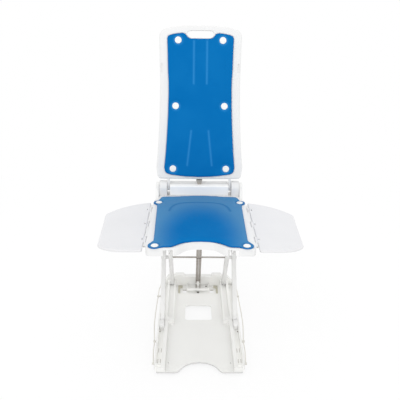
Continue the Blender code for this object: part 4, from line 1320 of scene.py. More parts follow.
    def make_cover(self) -> None:
        """Makes the padded cover and stands it against the shell."""
        lines = []
        for start, end in (((0.027, 0.400), (0.027, 0.572)), ((0.036, 0.205), (0.052, 0.060))):
            for side, _ in LEFT_RIGHT:
                lines.append([(side * start[0], start[1]), (side * end[0], end[1])])
        place = self.stand() @ turned((0.0, self.front, self.foot), "X", 1)
        PaddedCover("backrest_cover", "back_cover", "backrest", self.cover_outline(), self.studs, lines,
                    place, self.finishes.blue, centre=(0.0, 0.300), reach=(0.150, 0.310)).build()

    def make_studs(self) -> None:
        """Makes the six push-in studs of the cover."""
        names = ("lower_left", "lower_right", "middle_left", "middle_right", "upper_left", "upper_right")
        for name, (x, t) in zip(names, self.studs):
            place = self.stand() @ turned((x, self.front, t + self.foot), "X", 1)
            stud = make_stud("back_stud_" + name, 0.0140, self.panel, place)
            fit(stud, self.finishes.stud, "backrest", ["back_clip_" + name])


def make_stud(name: str, radius: float, panel: float, place: Matrix, head: float = 0.0045) -> Workpiece:
    """Makes a push-in stud: domed head with a shallow ring, stem and tip.

    Args:
        name: name of the piece.
        radius: radius of the head.
        panel: thickness of the plate that it is pushed through.
        place: where the plate's face and the stud's axis meet.
        head: how far the head's underside stands above the plate.

    Returns:
        The stud in its place.
    """
    dome = ((0.0, 0.0021), (0.36, 0.0021), (0.42, 0.0017), (0.47, 0.0017), (0.53, 0.0025), (0.70, 0.0024),
            (0.86, 0.0019), (0.96, 0.0010), (1.0, 0.0002), (0.97, 0.0))
    profile = [(radius * share, head + height) for share, height in dome]
    profile += [(0.004, head), (0.004, -panel)]
    profile += [(0.0032, -panel - 0.0018), (0.0022, -panel - 0.0030), (0.0, -panel - 0.0030)]
    return Workpiece.spun(name, profile, place, 36).even_shading(50.0)


# Seat

@dataclass
class Seat:
    """The seat: moulded plate with skirts, blue cover, studs and what is fixed to it."""

    finishes: Finishes
    top: float = 0.460
    studs: list[Point] = field(default_factory=lambda: [(side * x, y) for x, y in (
        (0.157, -0.2725), (0.166, 0.115)) for side in (-1, 1)])

    def cover_outline(self) -> Outline:
        """Draws the cover from above.

        Returns:
            The cover's outline.
        """
        half = [(0.0, -0.2426)]
        half += smooth([(0.033, -0.2455), (0.0610, -0.2535), (0.0825, -0.2690), (0.1000, -0.2815),
                        (0.1290, -0.2845)], 5)
        half += arc((0.157, -0.2725), 0.0245, -115, 45, 14)
        half += smooth([(0.1645, -0.240), (0.1665, -0.150), (0.1690, -0.050), (0.1718, 0.060),
                        (0.1735, 0.088)], 4)
        half += arc((0.1660, 0.113), 0.0228, -44, 84, 12)
        half += smooth([(0.161, 0.166), (0.150, 0.173), (0.107, 0.172), (0.073, 0.1785), (0.036, 0.1835)], 4)
        half += [(0.0, 0.185)]
        return mirrored(half)

    def build(self) -> None:
        """Makes every piece of the seat."""
        plate = Workpiece.from_node("seat_shell", "seat_plate")
        plate.soften(0.0010, 2, 32.0)
        fit(plate, self.finishes.white, "seat", ["seat_plate"])
        self.make_cover()
        self.make_studs()

    def make_cover(self) -> None:
        """Makes the padded cover with its moulded bow."""
        bow = smooth([(-0.119, 0.006), (-0.1105, 0.044), (-0.090, 0.075), (-0.0515, 0.090), (0.0, 0.094),
                      (0.0515, 0.090), (0.090, 0.075), (0.1105, 0.044), (0.119, 0.006)], 4)
        place = Matrix.Translation((0.0, 0.0, self.top))
        PaddedCover("seat_pad", "seat_cover", "seat", self.cover_outline(), self.studs, [bow], place,
                    self.finishes.seat_sheen_blue, stud_radius=0.0135, stud_seat=0.0024, centre=(0.0, -0.050),
                    reach=(0.185, 0.240), painted_line_width=0.0058).build()

    def make_studs(self) -> None:
        """Makes the four push-in studs of the cover."""
        for name, (x, y) in zip(CORNERS, self.studs):
            stud = make_stud("seat_stud_" + name, 0.0130, 0.005, Matrix.Translation((x, y, self.top)), 0.0026)
            fit(stud, self.finishes.stud, "seat", ["seat_clip_" + name])


# Flaps

@dataclass
class SideFlap:
    """One of the two flaps beside the seat, with its hinge knuckles."""

    finishes: Finishes
    side: int
    word: str
    bottom: float = 0.4485
    top: float = 0.4575
    inner: float = 0.1988
    axis: Point = (0.1945, 0.4525)

    def outline(self) -> Outline:
        """Draws the leaf from above.

        Returns:
            The leaf's outline.
        """
        points = [(self.inner, -0.291), (0.2035, -0.2975), (0.2780, -0.2975)]
        points += smooth([(0.3030, -0.2940), (0.3260, -0.2850), (0.3450, -0.2715), (0.3532, -0.2580)], 4)
        points += [(0.3562, -0.210), (0.3608, -0.096), (0.3662, -0.016)]
        points += smooth([(0.3658, -0.004), (0.3605, 0.0120), (0.3280, 0.0525), (0.2960, 0.0800),
                          (0.2625, 0.1020), (0.2290, 0.1165)], 4)
        points += [(0.2080, 0.1228), (self.inner, 0.1228)]
        return [(self.side * x, y) for x, y in points]

    def build(self) -> None:
        """Makes the leaf with its rounded edge, hinge holes and knuckles."""
        leaf = Workpiece.from_outline("flap_leaf_" + self.word, self.outline(), self.bottom, self.top,
                                      View.ABOVE)
        leaf.bevel(lambda middle, along: middle.z > self.top - HAIR, 0.0036, 4)
        leaf.bevel(lambda middle, along: middle.z < self.bottom + HAIR, 0.0022, 2)
        for x, y in ((0.2080, 0.052), (0.2060, -0.083), (0.2050, -0.2115)):
            hole = rounded_rectangle((-0.0022, -0.0060), (0.0022, 0.0060), 0.0020, 4)
            hole = [(self.side * x + u, y + v) for u, v in hole]
            leaf.cut(Workpiece.from_outline("hole", hole, self.bottom - OVERHANG, self.top + OVERHANG,
                                            View.ABOVE))
        leaf.even_shading(40.0)
        leaf.gather(self._knuckles())
        fit(leaf, self.finishes.flap, "flap_" + self.word, ["side_flap_" + self.word])

    def _knuckles(self) -> list[Workpiece]:
        """Makes the three knuckles of the flap's hinge.

        Returns:
            The knuckles.
        """
        made = []
        for start, end in ((-0.2354, -0.1886), (-0.1074, -0.0586), (0.0286, 0.0774)):
            x, z = self.side * self.axis[0], self.axis[1]
            barrel = Workpiece.bar("knuckle", (x, start, z), (x, end, z), 0.0040, 28)
            low, high = spread(self.side, self.axis[0], self.inner + 0.002)
            barrel.join(Workpiece.block("web", (low, start, z - 0.0035), (high, end, z + 0.0035)))
            barrel.cut(Workpiece.bar("bore", (x, start - OVERHANG, z), (x, end + OVERHANG, z), 0.0021, 16))
            barrel.soften(0.0005, 1, 40.0)
            made.append(barrel)
        return made


# Base

@dataclass
class Base:
    """The base: trough with two side rails, arm channels, rear wall, pocket, bracket, cups and cords."""

    finishes: Finishes
    half_width: float = 0.162
    front: float = -0.3636
    rear: float = 0.236
    bottom: float = 0.010
    floor: float = 0.016
    rail: float = 0.034
    channel: float = 0.018
    pocket: float = 0.012
    wall: float = 0.2117
    behind: float = 0.2125
    cord: float = 0.0020
    pivot: Point = (0.200, 0.038)

    def outline(self) -> Outline:
        """Draws the base from above, with the hollow of its front.

        Returns:
            The base's outline.
        """
        half = [(0.0, -0.3117)]
        half += smooth([(0.030, -0.3168), (0.0515, -0.329), (0.0647, -0.345), (0.073, -0.357)], 4)
        half += [(0.081, self.front)]
        half += smooth([(0.1495, self.front), (0.1535, -0.3600), (0.1595, -0.3450),
                        (self.half_width, -0.3330)], 4)
        half += [(self.half_width, self.rear - 0.008), (self.half_width - 0.004, self.rear), (0.0, self.rear)]
        return mirrored(half)

    def wall_outline(self) -> Outline:
        """Draws the rear wall from the front, with its two raised blocks.

        Returns:
            The wall's outline.
        """
        half = [(0.0, 0.013), (0.153, 0.013), (0.153, 0.035), (0.150, 0.039), (0.134, 0.060), (0.108, 0.060)]
        half += [(0.102, 0.068), (0.066, 0.068), (0.060, 0.060), (0.0, 0.060)]
        return mirrored(half)

    def build(self) -> None:
        """Makes every piece of the base."""
        self.make_trough()
        self.make_bracket()
        self.make_cups()
        self.make_strips()
        self.make_pins()
        for side, word in LEFT_RIGHT:
            self.make_cord(side, word)

    def _well(self, low: Point, high: Point, depth: float, radius: float = 0.006) -> Workpiece:
        """Makes an upright cutter with a rounded rectangle's outline."""
        corners = rounded_rectangle(low, high, radius, 5)
        return Workpiece.from_outline("well", corners, depth, self.rail + 0.012, View.ABOVE)

    def make_trough(self) -> None:
        """Makes the moulded trough and everything that is cut into it or stands on it."""
        trough = Workpiece.from_outline("base_shell", self.outline(), self.bottom, self.rail, View.ABOVE)
        trough.cut(self._well((-0.1225, -0.40), (0.1225, -0.085), self.floor))
        trough.cut(self._well((-0.100, -0.12), (0.100, self.behind), self.floor))
        for side, _ in LEFT_RIGHT:
            for low, high, front, floor in ((0.1358, 0.1552, -0.3395, self.channel),
                                            (0.1075, 0.1266, -0.062, 0.026)):
                left, right = spread(side, low, high)
                trough.cut(self._well((left, front), (right, self.behind), floor, 0.004))
            left, right = spread(side, 0.1365, 0.1500)
            trough.cut(self._well((left, -0.3585), (right, -0.3435), self.rail - 0.004, 0.003))
        trough.join(Workpiece.from_outline("wall", self.wall_outline(), self.wall, self.rear - 0.0005,
                                           View.FRONT))
        for side, _ in LEFT_RIGHT:
            for low, high in ((0.1005, 0.1070), (0.1269, 0.1345)):
                left, right = spread(side, low, high)
                lug = self._ear(0.0105, self.floor + 0.001)
                trough.join(Workpiece.from_outline("lug", lug, left, right, View.SIDE))
        trough.cut(self._well((-0.0555, -0.0570), (0.0545, 0.0495), 0.0, 0.013))
        trough.cut(self._well((-0.0895, 0.1415), (0.0895, 0.2110), self.pocket, 0.004))
        for side, _ in LEFT_RIGHT:
            left, right = spread(side, 0.0525, 0.0690)
            trough.cut(self._well((left, 0.1530), (right, 0.1720), 0.0, 0.004))
            left, right = spread(side, 0.095, 0.135)
            trough.cut(Workpiece.bar("bore", (left, *self.pivot), (right, *self.pivot), BORE, 20))
            hole = (side * 0.112, -0.3165)
            trough.cut(Workpiece.bar("screw_hole", (*hole, self.floor - 0.0035), (*hole, 0.05), 0.0028))
        trough.soften(0.0009, 2, 35.0)
        # Painted shading: 1 on the front faces, which the finish paints darker as painted shade; -1 on the
        # outer channels' inner faces, which it paints lighter as painted light
        edge = trough.item.data.attributes.new("edge", "FLOAT", "FACE")
        for face in trough.item.data.polygons:
            front = face.normal.y < -0.45 and face.center.y < -0.30
            inside = 0.1350 < abs(face.center.x) < 0.1560 and face.center.z < self.rail - 0.001
            edge.data[face.index].value = float(front) - float(inside and not front)
        fit(trough, self.finishes.base, "base", ["base_plate"])

    def _ear(self, radius: float, foot: float) -> Outline:
        """Draws an ear round the arms' rear pivot from the side.

        Args:
            radius: its radius.
            foot: height of its foot.

        Returns:
            The outline.
        """
        y, z = self.pivot
        return arc((y, z), radius, 0, 180, 16) + [(y - radius, foot), (y + radius, foot)]

    def make_bracket(self) -> None:
        """Makes the bracket in the pocket that the lever stands on."""
        foot = self.pocket + GAP
        bracket = Workpiece.block("bracket", (-0.0495, 0.1865, foot), (0.0495, 0.2100, foot + 0.005))
        cheek = [(0.158, foot), (0.210, foot), (0.210, 0.026), (0.198, 0.034), (0.166, 0.034), (0.158, 0.028)]
        for side, _ in LEFT_RIGHT:
            left, right = spread(side, 0.0465, 0.0495)
            bracket.join(Workpiece.from_outline("cheek", cheek, left, right, View.SIDE))
        bracket.join(Workpiece.block("bar", (-0.048, 0.158, 0.0195), (0.048, 0.165, 0.0285)))
        bracket.join(Workpiece.block("spine", (-0.0062, 0.161, 0.0195), (0.0062, 0.190, 0.0235)))
        tongue = self._ear(0.0095, foot + 0.002)
        bracket.join(Workpiece.from_outline("tongue", tongue, -0.0062, 0.0062, View.SIDE))
        bracket.cut(Workpiece.bar("bore", (-0.02, *self.pivot), (0.02, *self.pivot), BORE, 20))
        bracket.soften(0.0007, 2, 35.0)
        fit(bracket, self.finishes.base, "base", ["lever_bracket"])
        bolt = self._bolt((0.0, 0.1545, self.floor - 0.0035), 0.0052)
        bolt.gather([self._bolt((0.0365, 0.1965, foot + 0.0052), 0.0030)])
        fit(bolt, self.finishes.dark, "base")

    def _bolt(self, place: Place, radius: float) -> Workpiece:
        """Makes a small bolt head with a socket.

        Args:
            place: middle of its foot.
            radius: its radius.

        Returns:
            The bolt head.
        """
        profile = [(0.0, 0.0004), (radius * 0.45, 0.0004), (radius * 0.5, 0.0022), (radius * 0.85, 0.0022)]
        profile += [(radius, 0.0014), (radius, 0.0), (0.0, 0.0)]
        return Workpiece.spun("bracket_bolts", profile, Matrix.Translation(place), 20).even_shading(40.0)

    def make_cups(self) -> None:
        """Makes the four suction cups."""
        profile = [(0.0, 0.0138), (0.0058, 0.0138), (0.0060, 0.0134), (0.0060, 0.0099), (0.0150, 0.0099)]
        profile += smooth([(0.0170, 0.0097), (0.0240, 0.0084), (0.0310, 0.0050), (0.0352, 0.0012)], 3)
        profile += [(0.0360, 0.0004), (0.0357, 0.0), (0.0345, 0.0)]
        profile += smooth([(0.0320, 0.0008), (0.0250, 0.0036), (0.0120, 0.0052), (0.0, 0.0056)], 2)
        places = [(side * 0.105, y) for y in (-0.300, 0.165) for side in (-1, 1)]
        for name, (x, y) in zip(CORNERS, places):
            cup = Workpiece.spun("suction_" + name, profile, Matrix.Translation((x, y, 0.0)), 48)
            cup.even_shading(35.0)
            fit(cup, self.finishes.rubber, "base", ["suction_cup_" + name])

    def make_strips(self) -> None:
        """Makes tan strips in the outer channels with painted shadow marks in front of the shoes and above
        the pocket's slots, the pocket's pads, partly painted shade, and steel links that stand in for the
        shade beside the lever's foot.
        """
        # Tan strips in the outer channels; the mark in front of each shoe and the strip above each slot of
        # the pocket are painted shadow
        self._blocks("tan_and_shadow_marks", self.finishes.tan, [
            (x - 0.0009, start, self.channel - 0.0010, x + 0.0009, start + 0.024, self.channel + 0.0002)
            for x in (0.1405, 0.1500) for start in (-0.322, -0.262)] + [
            (0.1505, -0.1400, self.channel - 0.0010, 0.1548, -0.1330, self.channel + 0.0006),
            (0.0530, 0.1722, self.pocket - 0.0010, 0.0690, 0.1752, self.pocket + 0.0010)])
        # Pads at the pocket's ends, their darker tan partly painted shade
        self._blocks("pocket_pads", self.finishes.pad, [
            (0.0800, 0.1440, self.pocket - 0.0010, 0.0892, 0.2095, self.pocket + 0.0030),
            (0.0700, 0.1890, self.pocket - 0.0010, 0.0800, 0.2095, self.pocket + 0.0030)])
        # Steel links beside the lever's foot stand in for the shade of the gap beside the tongue and the
        # lever bars' shadow
        self._blocks("lever_shade_links", self.finishes.bar, [
            (0.0066, 0.1665, 0.0180, 0.0106, 0.1990, 0.0288)])

    def _blocks(self, name: str, finish: bpy.types.Material,
                sizes: Sequence[Sequence[float]]) -> None:
        """Makes pairs of small blocks, one on each side.

        Args:
            name: name of the piece that they form.
            finish: its finish.
            sizes: low and high corner of each block of the right side.
        """
        blocks = []
        for side, _ in LEFT_RIGHT:
            for left, front, below, right, behind, above in sizes:
                low, high = spread(side, left, right)
                blocks.append(Workpiece.block(name, (low, front, below), (high, behind, above)))
        blocks[0].gather(blocks[1:])
        blocks[0].soften(0.0003, 1, 35.0)
        fit(blocks[0], finish, "base")

    def make_pins(self) -> None:
        """Makes the foot pins of the inner arms and of the lever."""
        y, z = self.pivot
        steel = self.finishes.steel
        for side, word in LEFT_RIGHT:
            fit_pin("inner_foot_pin_" + word, "base", steel, (side * 0.1003, y, z), (side * 0.1343, y, z))
        fit_pin("lever_foot_pin", "base", steel, (-0.0108, y, z), (0.0108, y, z))

    def make_cord(self, side: int, word: str) -> None:
        """Makes a release cord with its sleeve knobs, held along the side of the base.

        Args:
            side: -1 for left, 1 for right.
            word: the side's name.
        """
        points = [(0.1655, 0.195, 0.0240), (0.1735, 0.165, 0.0225), (0.1745, 0.105, 0.0240),
                  (0.1765, 0.050, 0.0215), (0.1780, -0.020, 0.0200), (0.1775, -0.090, 0.0205),
                  (0.1735, -0.150, 0.0220), (0.1690, -0.205, 0.0240), (0.1695, -0.260, 0.0220),
                  (0.1650, -0.330, 0.0240)]
        route = [Vector((side * x, y, z)) for x, y, z in smooth(points, 6)]
        cord = make_tube("cord_" + word, route, self.cord, 12)
        knobs = []
        for x, y in ((0.1655, 0.195), (0.1745, 0.105), (0.1690, -0.205), (0.1650, -0.330)):
            reach = x + 0.0042 - self.half_width
            profile = [(radius, reach * share) for radius, share in (
                (0.0, 0.0), (0.0044, 0.0), (0.0044, 0.35), (0.0036, 0.42), (0.0036, 0.70), (0.0045, 0.78),
                (0.0045, 0.94), (0.0038, 1.0), (0.0, 1.0))]
            place = turned((side * (self.half_width + 0.0002), y, 0.0240), "Y", side)
            knobs.append(Workpiece.spun("knob", profile, place, 20).even_shading(40.0))
        fit(cord, self.finishes.cord, "base", ["release_cord_" + word])
        knobs[0].item.name = "cord_knobs_" + word
        knobs[0].gather(knobs[1:])
        fit(knobs[0], self.finishes.knob, "base")


def fit_pin(node: str, body: str, steel: bpy.types.Material, start: Place, end: Place, radius: float = PIN,
            place: Optional[Matrix] = None) -> None:
    """Makes a turned pin with a chamfer and a ring groove at each end, and fits it.

    Args:
        node: the CAD node that it stands for.
        body: the body that it moves with.
        steel: its finish.
        start: middle of its first end.
        end: middle of its other end.
        radius: its radius.
        place: the frame in which its ends are given, if not the lift's own.
    """
    run = Vector(end) - Vector(start)
    length = run.length
    half = [(0.0, 0.0), (radius - 0.0004, 0.0), (radius, 0.0004), (radius, 0.0011), (radius - 0.0003, 0.0013)]
    half += [(radius - 0.0003, 0.0018), (radius, 0.0020)]
    profile = half + [(r, length - h) for r, h in reversed(half)]
    stand = Matrix.Translation(start) @ run.to_track_quat("Z", "Y").to_matrix().to_4x4()
    pin = Workpiece.spun(node + "_turned", profile, stand, 28).even_shading(35.0)
    if place is not None:
        pin.move(place)
    fit(pin, steel, body, [node])


def make_tube(name: str, route: Sequence[Vector], radius: float, sides: int) -> Workpiece:
    """Sweeps a round section along a route, and stores the way along and around it for the finish.

    Args:
        name: name of the piece.
        route: the points of its middle line.
        radius: radius of the tube.
        sides: points round the section.

    Returns:
        The closed tube.
    """
    work = Workpiece.bar(name, (0.0, 0.0, 0.0), (0.0, 0.0, 1.0), radius, sides)
    with work.editing():
        for number in range(1, len(route) - 1):
            bpy.ops.mesh.select_all(action="SELECT")
            bpy.ops.mesh.bisect(plane_co=(0.0, 0.0, number / (len(route) - 1)), plane_no=(0.0, 0.0, 1.0))
    data = work.item.data
    length = data.attributes.new("length", "FLOAT", "POINT")
    around = data.attributes.new("around", "FLOAT", "POINT")
    passed = [0.0]
    for first, second in zip(route, route[1:]):
        passed.append(passed[-1] + (second - first).length)
    for vertex in data.vertices:
        number = round(vertex.co.z * (len(route) - 1))
        length.data[vertex.index].value = passed[number]
        around.data[vertex.index].value = (math.atan2(vertex.co.y, vertex.co.x) / math.tau) % 1.0
        ahead = (route[min(number + 1, len(route) - 1)] - route[max(number - 1, 0)]).normalized()
        side = ahead.cross(Vector((0.0, 0.0, 1.0))).normalized()
        above = side.cross(ahead)
        vertex.co = route[number] + side * vertex.co.x + above * vertex.co.y
    data.update()
    with work.editing():
        work.turn_outwards()
    return work.even_shading(50.0)


# Scissor

@dataclass
class Scissor:
    """Both pairs of arms, the cross shaft, the lever and the shoes of the outer arms."""

    finishes: Finishes
    pivot: Point = (0.200, 0.038)
    run: float = 0.276
    rise: float = 0.402
    half_depth: float = 0.011
    inner: Point = (0.1085, 0.1255)
    outer: Point = (0.1365, 0.1545)
    shoe: Point = (0.1367, 0.1543)
    channel: float = 0.018
    lever: float = 0.352
    foot_radius: float = 0.0062

    @property
    def length(self) -> float:
        """Gives the way between an arm's end pivots."""
        return math.hypot(self.run, self.rise)

    def inner_frame(self) -> Matrix:
        """Gives the frame of the inner arms, which lie along its -Y."""
        turn = Matrix.Rotation(-math.atan2(self.rise, self.run), 4, "X")
        return Matrix.Translation((0.0, *self.pivot)) @ turn

    def outer_frame(self) -> Matrix:
        """Gives the frame of the outer arms, with its origin at the crossing and +Y to the seat."""
        turn = Matrix.Rotation(math.atan2(self.rise, self.run), 4, "X")
        return Matrix.Translation((0.0, self.pivot[0] - self.run / 2, self.pivot[1] + self.rise / 2)) @ turn

    def build(self) -> None:
        """Makes every piece of the scissor."""
        for side, word in LEFT_RIGHT:
            self.make_inner_arm(side, word)
            self.make_outer_arm(side, word)
            self.make_spacer(side, word)
            self.make_shoe(side, word)
            self.make_lever_bar(side, word)
        self.make_cross_shaft()

    def _troughs(self, arm: Workpiece, side: int, face: float, crossing: float) -> None:
        """Cuts the two long troughs of an arm's flat side.

        Args:
            arm: the arm, before it is put in its place.
            side: -1 for left, 1 for right.
            face: how far the flat side lies from the middle of the lift.
            crossing: place of the crossing along the arm.
        """
        reach = self.length / 2 - 0.032
        low, high = spread(side, face - 0.002, face + 0.0030)
        for start, end in ((crossing - reach, crossing - 0.020), (crossing + 0.020, crossing + reach)):
            trough = rounded_rectangle((start, -0.0065), (end, 0.0065), 0.004, 5)
            arm.cut(Workpiece.from_outline("trough", trough, low, high, View.SIDE))

    def _bore(self, bar: Workpiece, low: float, high: float, holes: Sequence[Point]) -> None:
        """Drills holes across a bar, before it is put in its place.

        Args:
            bar: the bar.
            low: where its first flat side lies.
            high: where its other flat side lies.
            holes: place along the bar and radius of each hole.
        """
        for y, radius in holes:
            bar.cut(Workpiece.bar("bore", (low - OVERHANG, y, 0.0), (high + OVERHANG, y, 0.0), radius, 24))

    def make_inner_arm(self, side: int, word: str) -> None:
        """Makes one inner arm with its holes and its upper pin.

        Args:
            side: -1 for left, 1 for right.
            word: the side's name.
        """
        low, high = spread(side, *self.inner)
        outline = arc((0.0, 0.0), self.half_depth, -90, 90, 16)
        outline += arc((-self.length, 0.0), self.half_depth, 90, 270, 16)
        arm = Workpiece.from_outline("arm_inner_" + word, outline, low, high, View.SIDE)
        arm.bevel(lambda middle, along: abs(along.x) < 0.5, 0.0022, 4)
        self._troughs(arm, side, self.inner[0], -self.length / 2)
        self._bore(arm, low, high, ((0.0, BORE), (-self.length / 2, CROSS_BORE), (-self.length, BORE)))
        arm.even_shading(38.0).move(self.inner_frame())
        fit(arm, self.finishes.arm, "inner_frame", ["inner_arm_" + word])
        near, far = side * 0.0958, side * (self.inner[1] - GAP)
        fit_pin("inner_top_pin_" + word, "inner_frame", self.finishes.steel, (near, -self.length, 0.0),
                (far, -self.length, 0.0), place=self.inner_frame())

    def make_outer_arm(self, side: int, word: str) -> None:
        """Makes one outer arm with its slim foot, its troughs and its foot pin.

        Args:
            side: -1 for left, 1 for right.
            word: the side's name.
        """
        half = self.length / 2
        deep, slim = self.half_depth, self.foot_radius
        low, high = spread(side, *self.outer)
        outline = arc((half, 0.0), deep, -90, 90, 16) + [(0.050 - half, deep), (0.024 - half, slim)]
        outline += arc((-half - 0.010, 0.0), slim, 90, 270, 12)
        outline += [(0.024 - half, -slim), (0.050 - half, -deep)]
        arm = Workpiece.from_outline("arm_outer_" + word, outline, low, high, View.SIDE)
        arm.bevel(lambda middle, along: abs(along.x) < 0.5, 0.0022, 4)
        for start, end in ((0.130, 0.1391), (0.1519, 0.160)):
            left, right = spread(side, start, end)
            arm.cut(Workpiece.block("slab", (left, -half - 0.04, -0.03), (right, -half + 0.022, 0.03)))
        self._troughs(arm, side, self.outer[0], 0.0)
        self._bore(arm, low, high, ((half, 0.0054), (0.0, CROSS_BORE), (-half, BORE)))
        arm.even_shading(38.0).move(self.outer_frame())
        fit(arm, self.finishes.arm, "outer_frame", ["outer_arm_" + word])
        fit_pin("outer_foot_pin_" + word, "outer_frame", self.finishes.steel, (side * 0.1370, -half, 0.0),
                (side * 0.1540, -half, 0.0), place=self.outer_frame())

    def make_spacer(self, side: int, word: str) -> None:
        """Makes the ribbed boss between two arms at their crossing.

        Args:
            side: -1 for left, 1 for right.
            word: the side's name.
        """
        start, end = self.inner[1] + GAP, self.outer[0] - GAP
        width = end - start
        profile = [(CROSS_BORE, 0.0), (0.0080, 0.0), (0.0080, 0.0022), (0.0070, 0.0028)]
        profile += [(radius, width - height) for radius, height in reversed(profile)]
        place = self.outer_frame() @ turned((side * start, 0.0, 0.0), "Y", side)
        ring = Workpiece.spun("spacer_" + word, profile, place, 32, open_profile=False).even_shading(35.0)
        fit(ring, self.finishes.arm, "outer_frame", ["arm_spacer_" + word])

    def make_shoe(self, side: int, word: str) -> None:
        """Makes the shoe that runs in the base's channel under an outer arm's foot.

        Args:
            side: -1 for left, 1 for right.
            word: the side's name.
        """
        bottom = self.channel + GAP - self.pivot[1]
        outline = [(0.016, bottom), (0.016, bottom + 0.0035), (-0.017, bottom + 0.0035), (-0.017, 0.0045)]
        outline += arc((-0.041, -0.0045), 0.009, 90, 180, 10) + [(-0.050, bottom)]
        low, high = spread(side, *self.shoe)
        shoe = Workpiece.from_outline("shoe_" + word, outline, low, high, View.SIDE)
        shoe.bevel(lambda middle, along: middle.z > bottom + 0.005 and abs(along.x) < 0.5, 0.0016, 3)
        radius = self.foot_radius
        cheek = arc((0.0, 0.0), radius, 0, 180, 14) + [(-radius, bottom + 0.002), (radius, bottom + 0.002)]
        for start, end in ((self.shoe[0], 0.1388), (0.1522, self.shoe[1])):
            left, right = spread(side, start, end)
            shoe.join(Workpiece.from_outline("cheek", cheek, left, right, View.SIDE))
        self._bore(shoe, low, high, ((0.0, BORE),))
        shoe.even_shading(38.0)
        shoe.move(Matrix.Translation((0.0, self.pivot[0] - self.run, self.pivot[1])))
        fit(shoe, self.finishes.arm, "foot_sliders", ["foot_slider_" + word])

    def make_cross_shaft(self) -> None:
        """Makes the shaft through the crossing, with its end caps, and the pin at the lever's top."""
        middle = -self.length / 2
        end = self.outer[1] + GAP
        steel, place = self.finishes.steel, self.inner_frame()
        fit_pin("cross_shaft", "inner_frame", steel, (-end, middle, 0.0), (end, middle, 0.0), 0.0033, place)
        profile = [(0.0, -0.0002), (0.0062, -0.0002), (0.0062, 0.0018), (0.0054, 0.0028), (0.0022, 0.0030)]
        profile += [(0.0018, 0.0022), (0.0, 0.0022)]
        caps = []
        for side, _ in LEFT_RIGHT:
            cap = Workpiece.spun("cap", profile, turned((side * end, middle, 0.0), "Y", side), 28)
            caps.append(cap.even_shading(35.0))
        caps[0].item.name = "cross_shaft_caps"
        caps[0].gather(caps[1:]).move(place)
        fit(caps[0], self.finishes.arm, "inner_frame")
        fit_pin("lever_top_pin", "inner_frame", steel, (-0.0108, -self.lever, 0.0),
                (0.0108, -self.lever, 0.0), 0.0024, place)

    def make_lever_bar(self, side: int, word: str) -> None:
        """Makes one flat bar of the upright lever, notched where the cross shaft lies.

        Args:
            side: -1 for left, 1 for right.
            word: the side's name.
        """
        middle = -self.length / 2
        low, high = spread(side, 0.0007, 0.0108)
        outline = arc((0.0, 0.0), 0.0055, -90, 90, 12) + arc((-0.360, 0.0), 0.0055, 90, 270, 12)
        bar = Workpiece.from_outline("lever_" + word, outline, low, high, View.SIDE)
        left, right = spread(side, 0.0001, 0.0067)
        bar.cut(Workpiece.block("foot_gap", (left, -0.020, -0.02), (right, 0.02, 0.02)))
        self._bore(bar, low, high, ((0.0, BORE), (middle, CROSS_BORE), (-self.lever, 0.0027)))
        bar.cut(Workpiece.block("mouth", (low - OVERHANG, middle - 0.0035, -0.012),
                                (high + OVERHANG, middle + 0.0035, 0.0)))
        bar.soften(0.0008, 2, 35.0).move(self.inner_frame())
        fit(bar, self.finishes.bar, "inner_frame", ["lever_bar_" + word])


# Drive

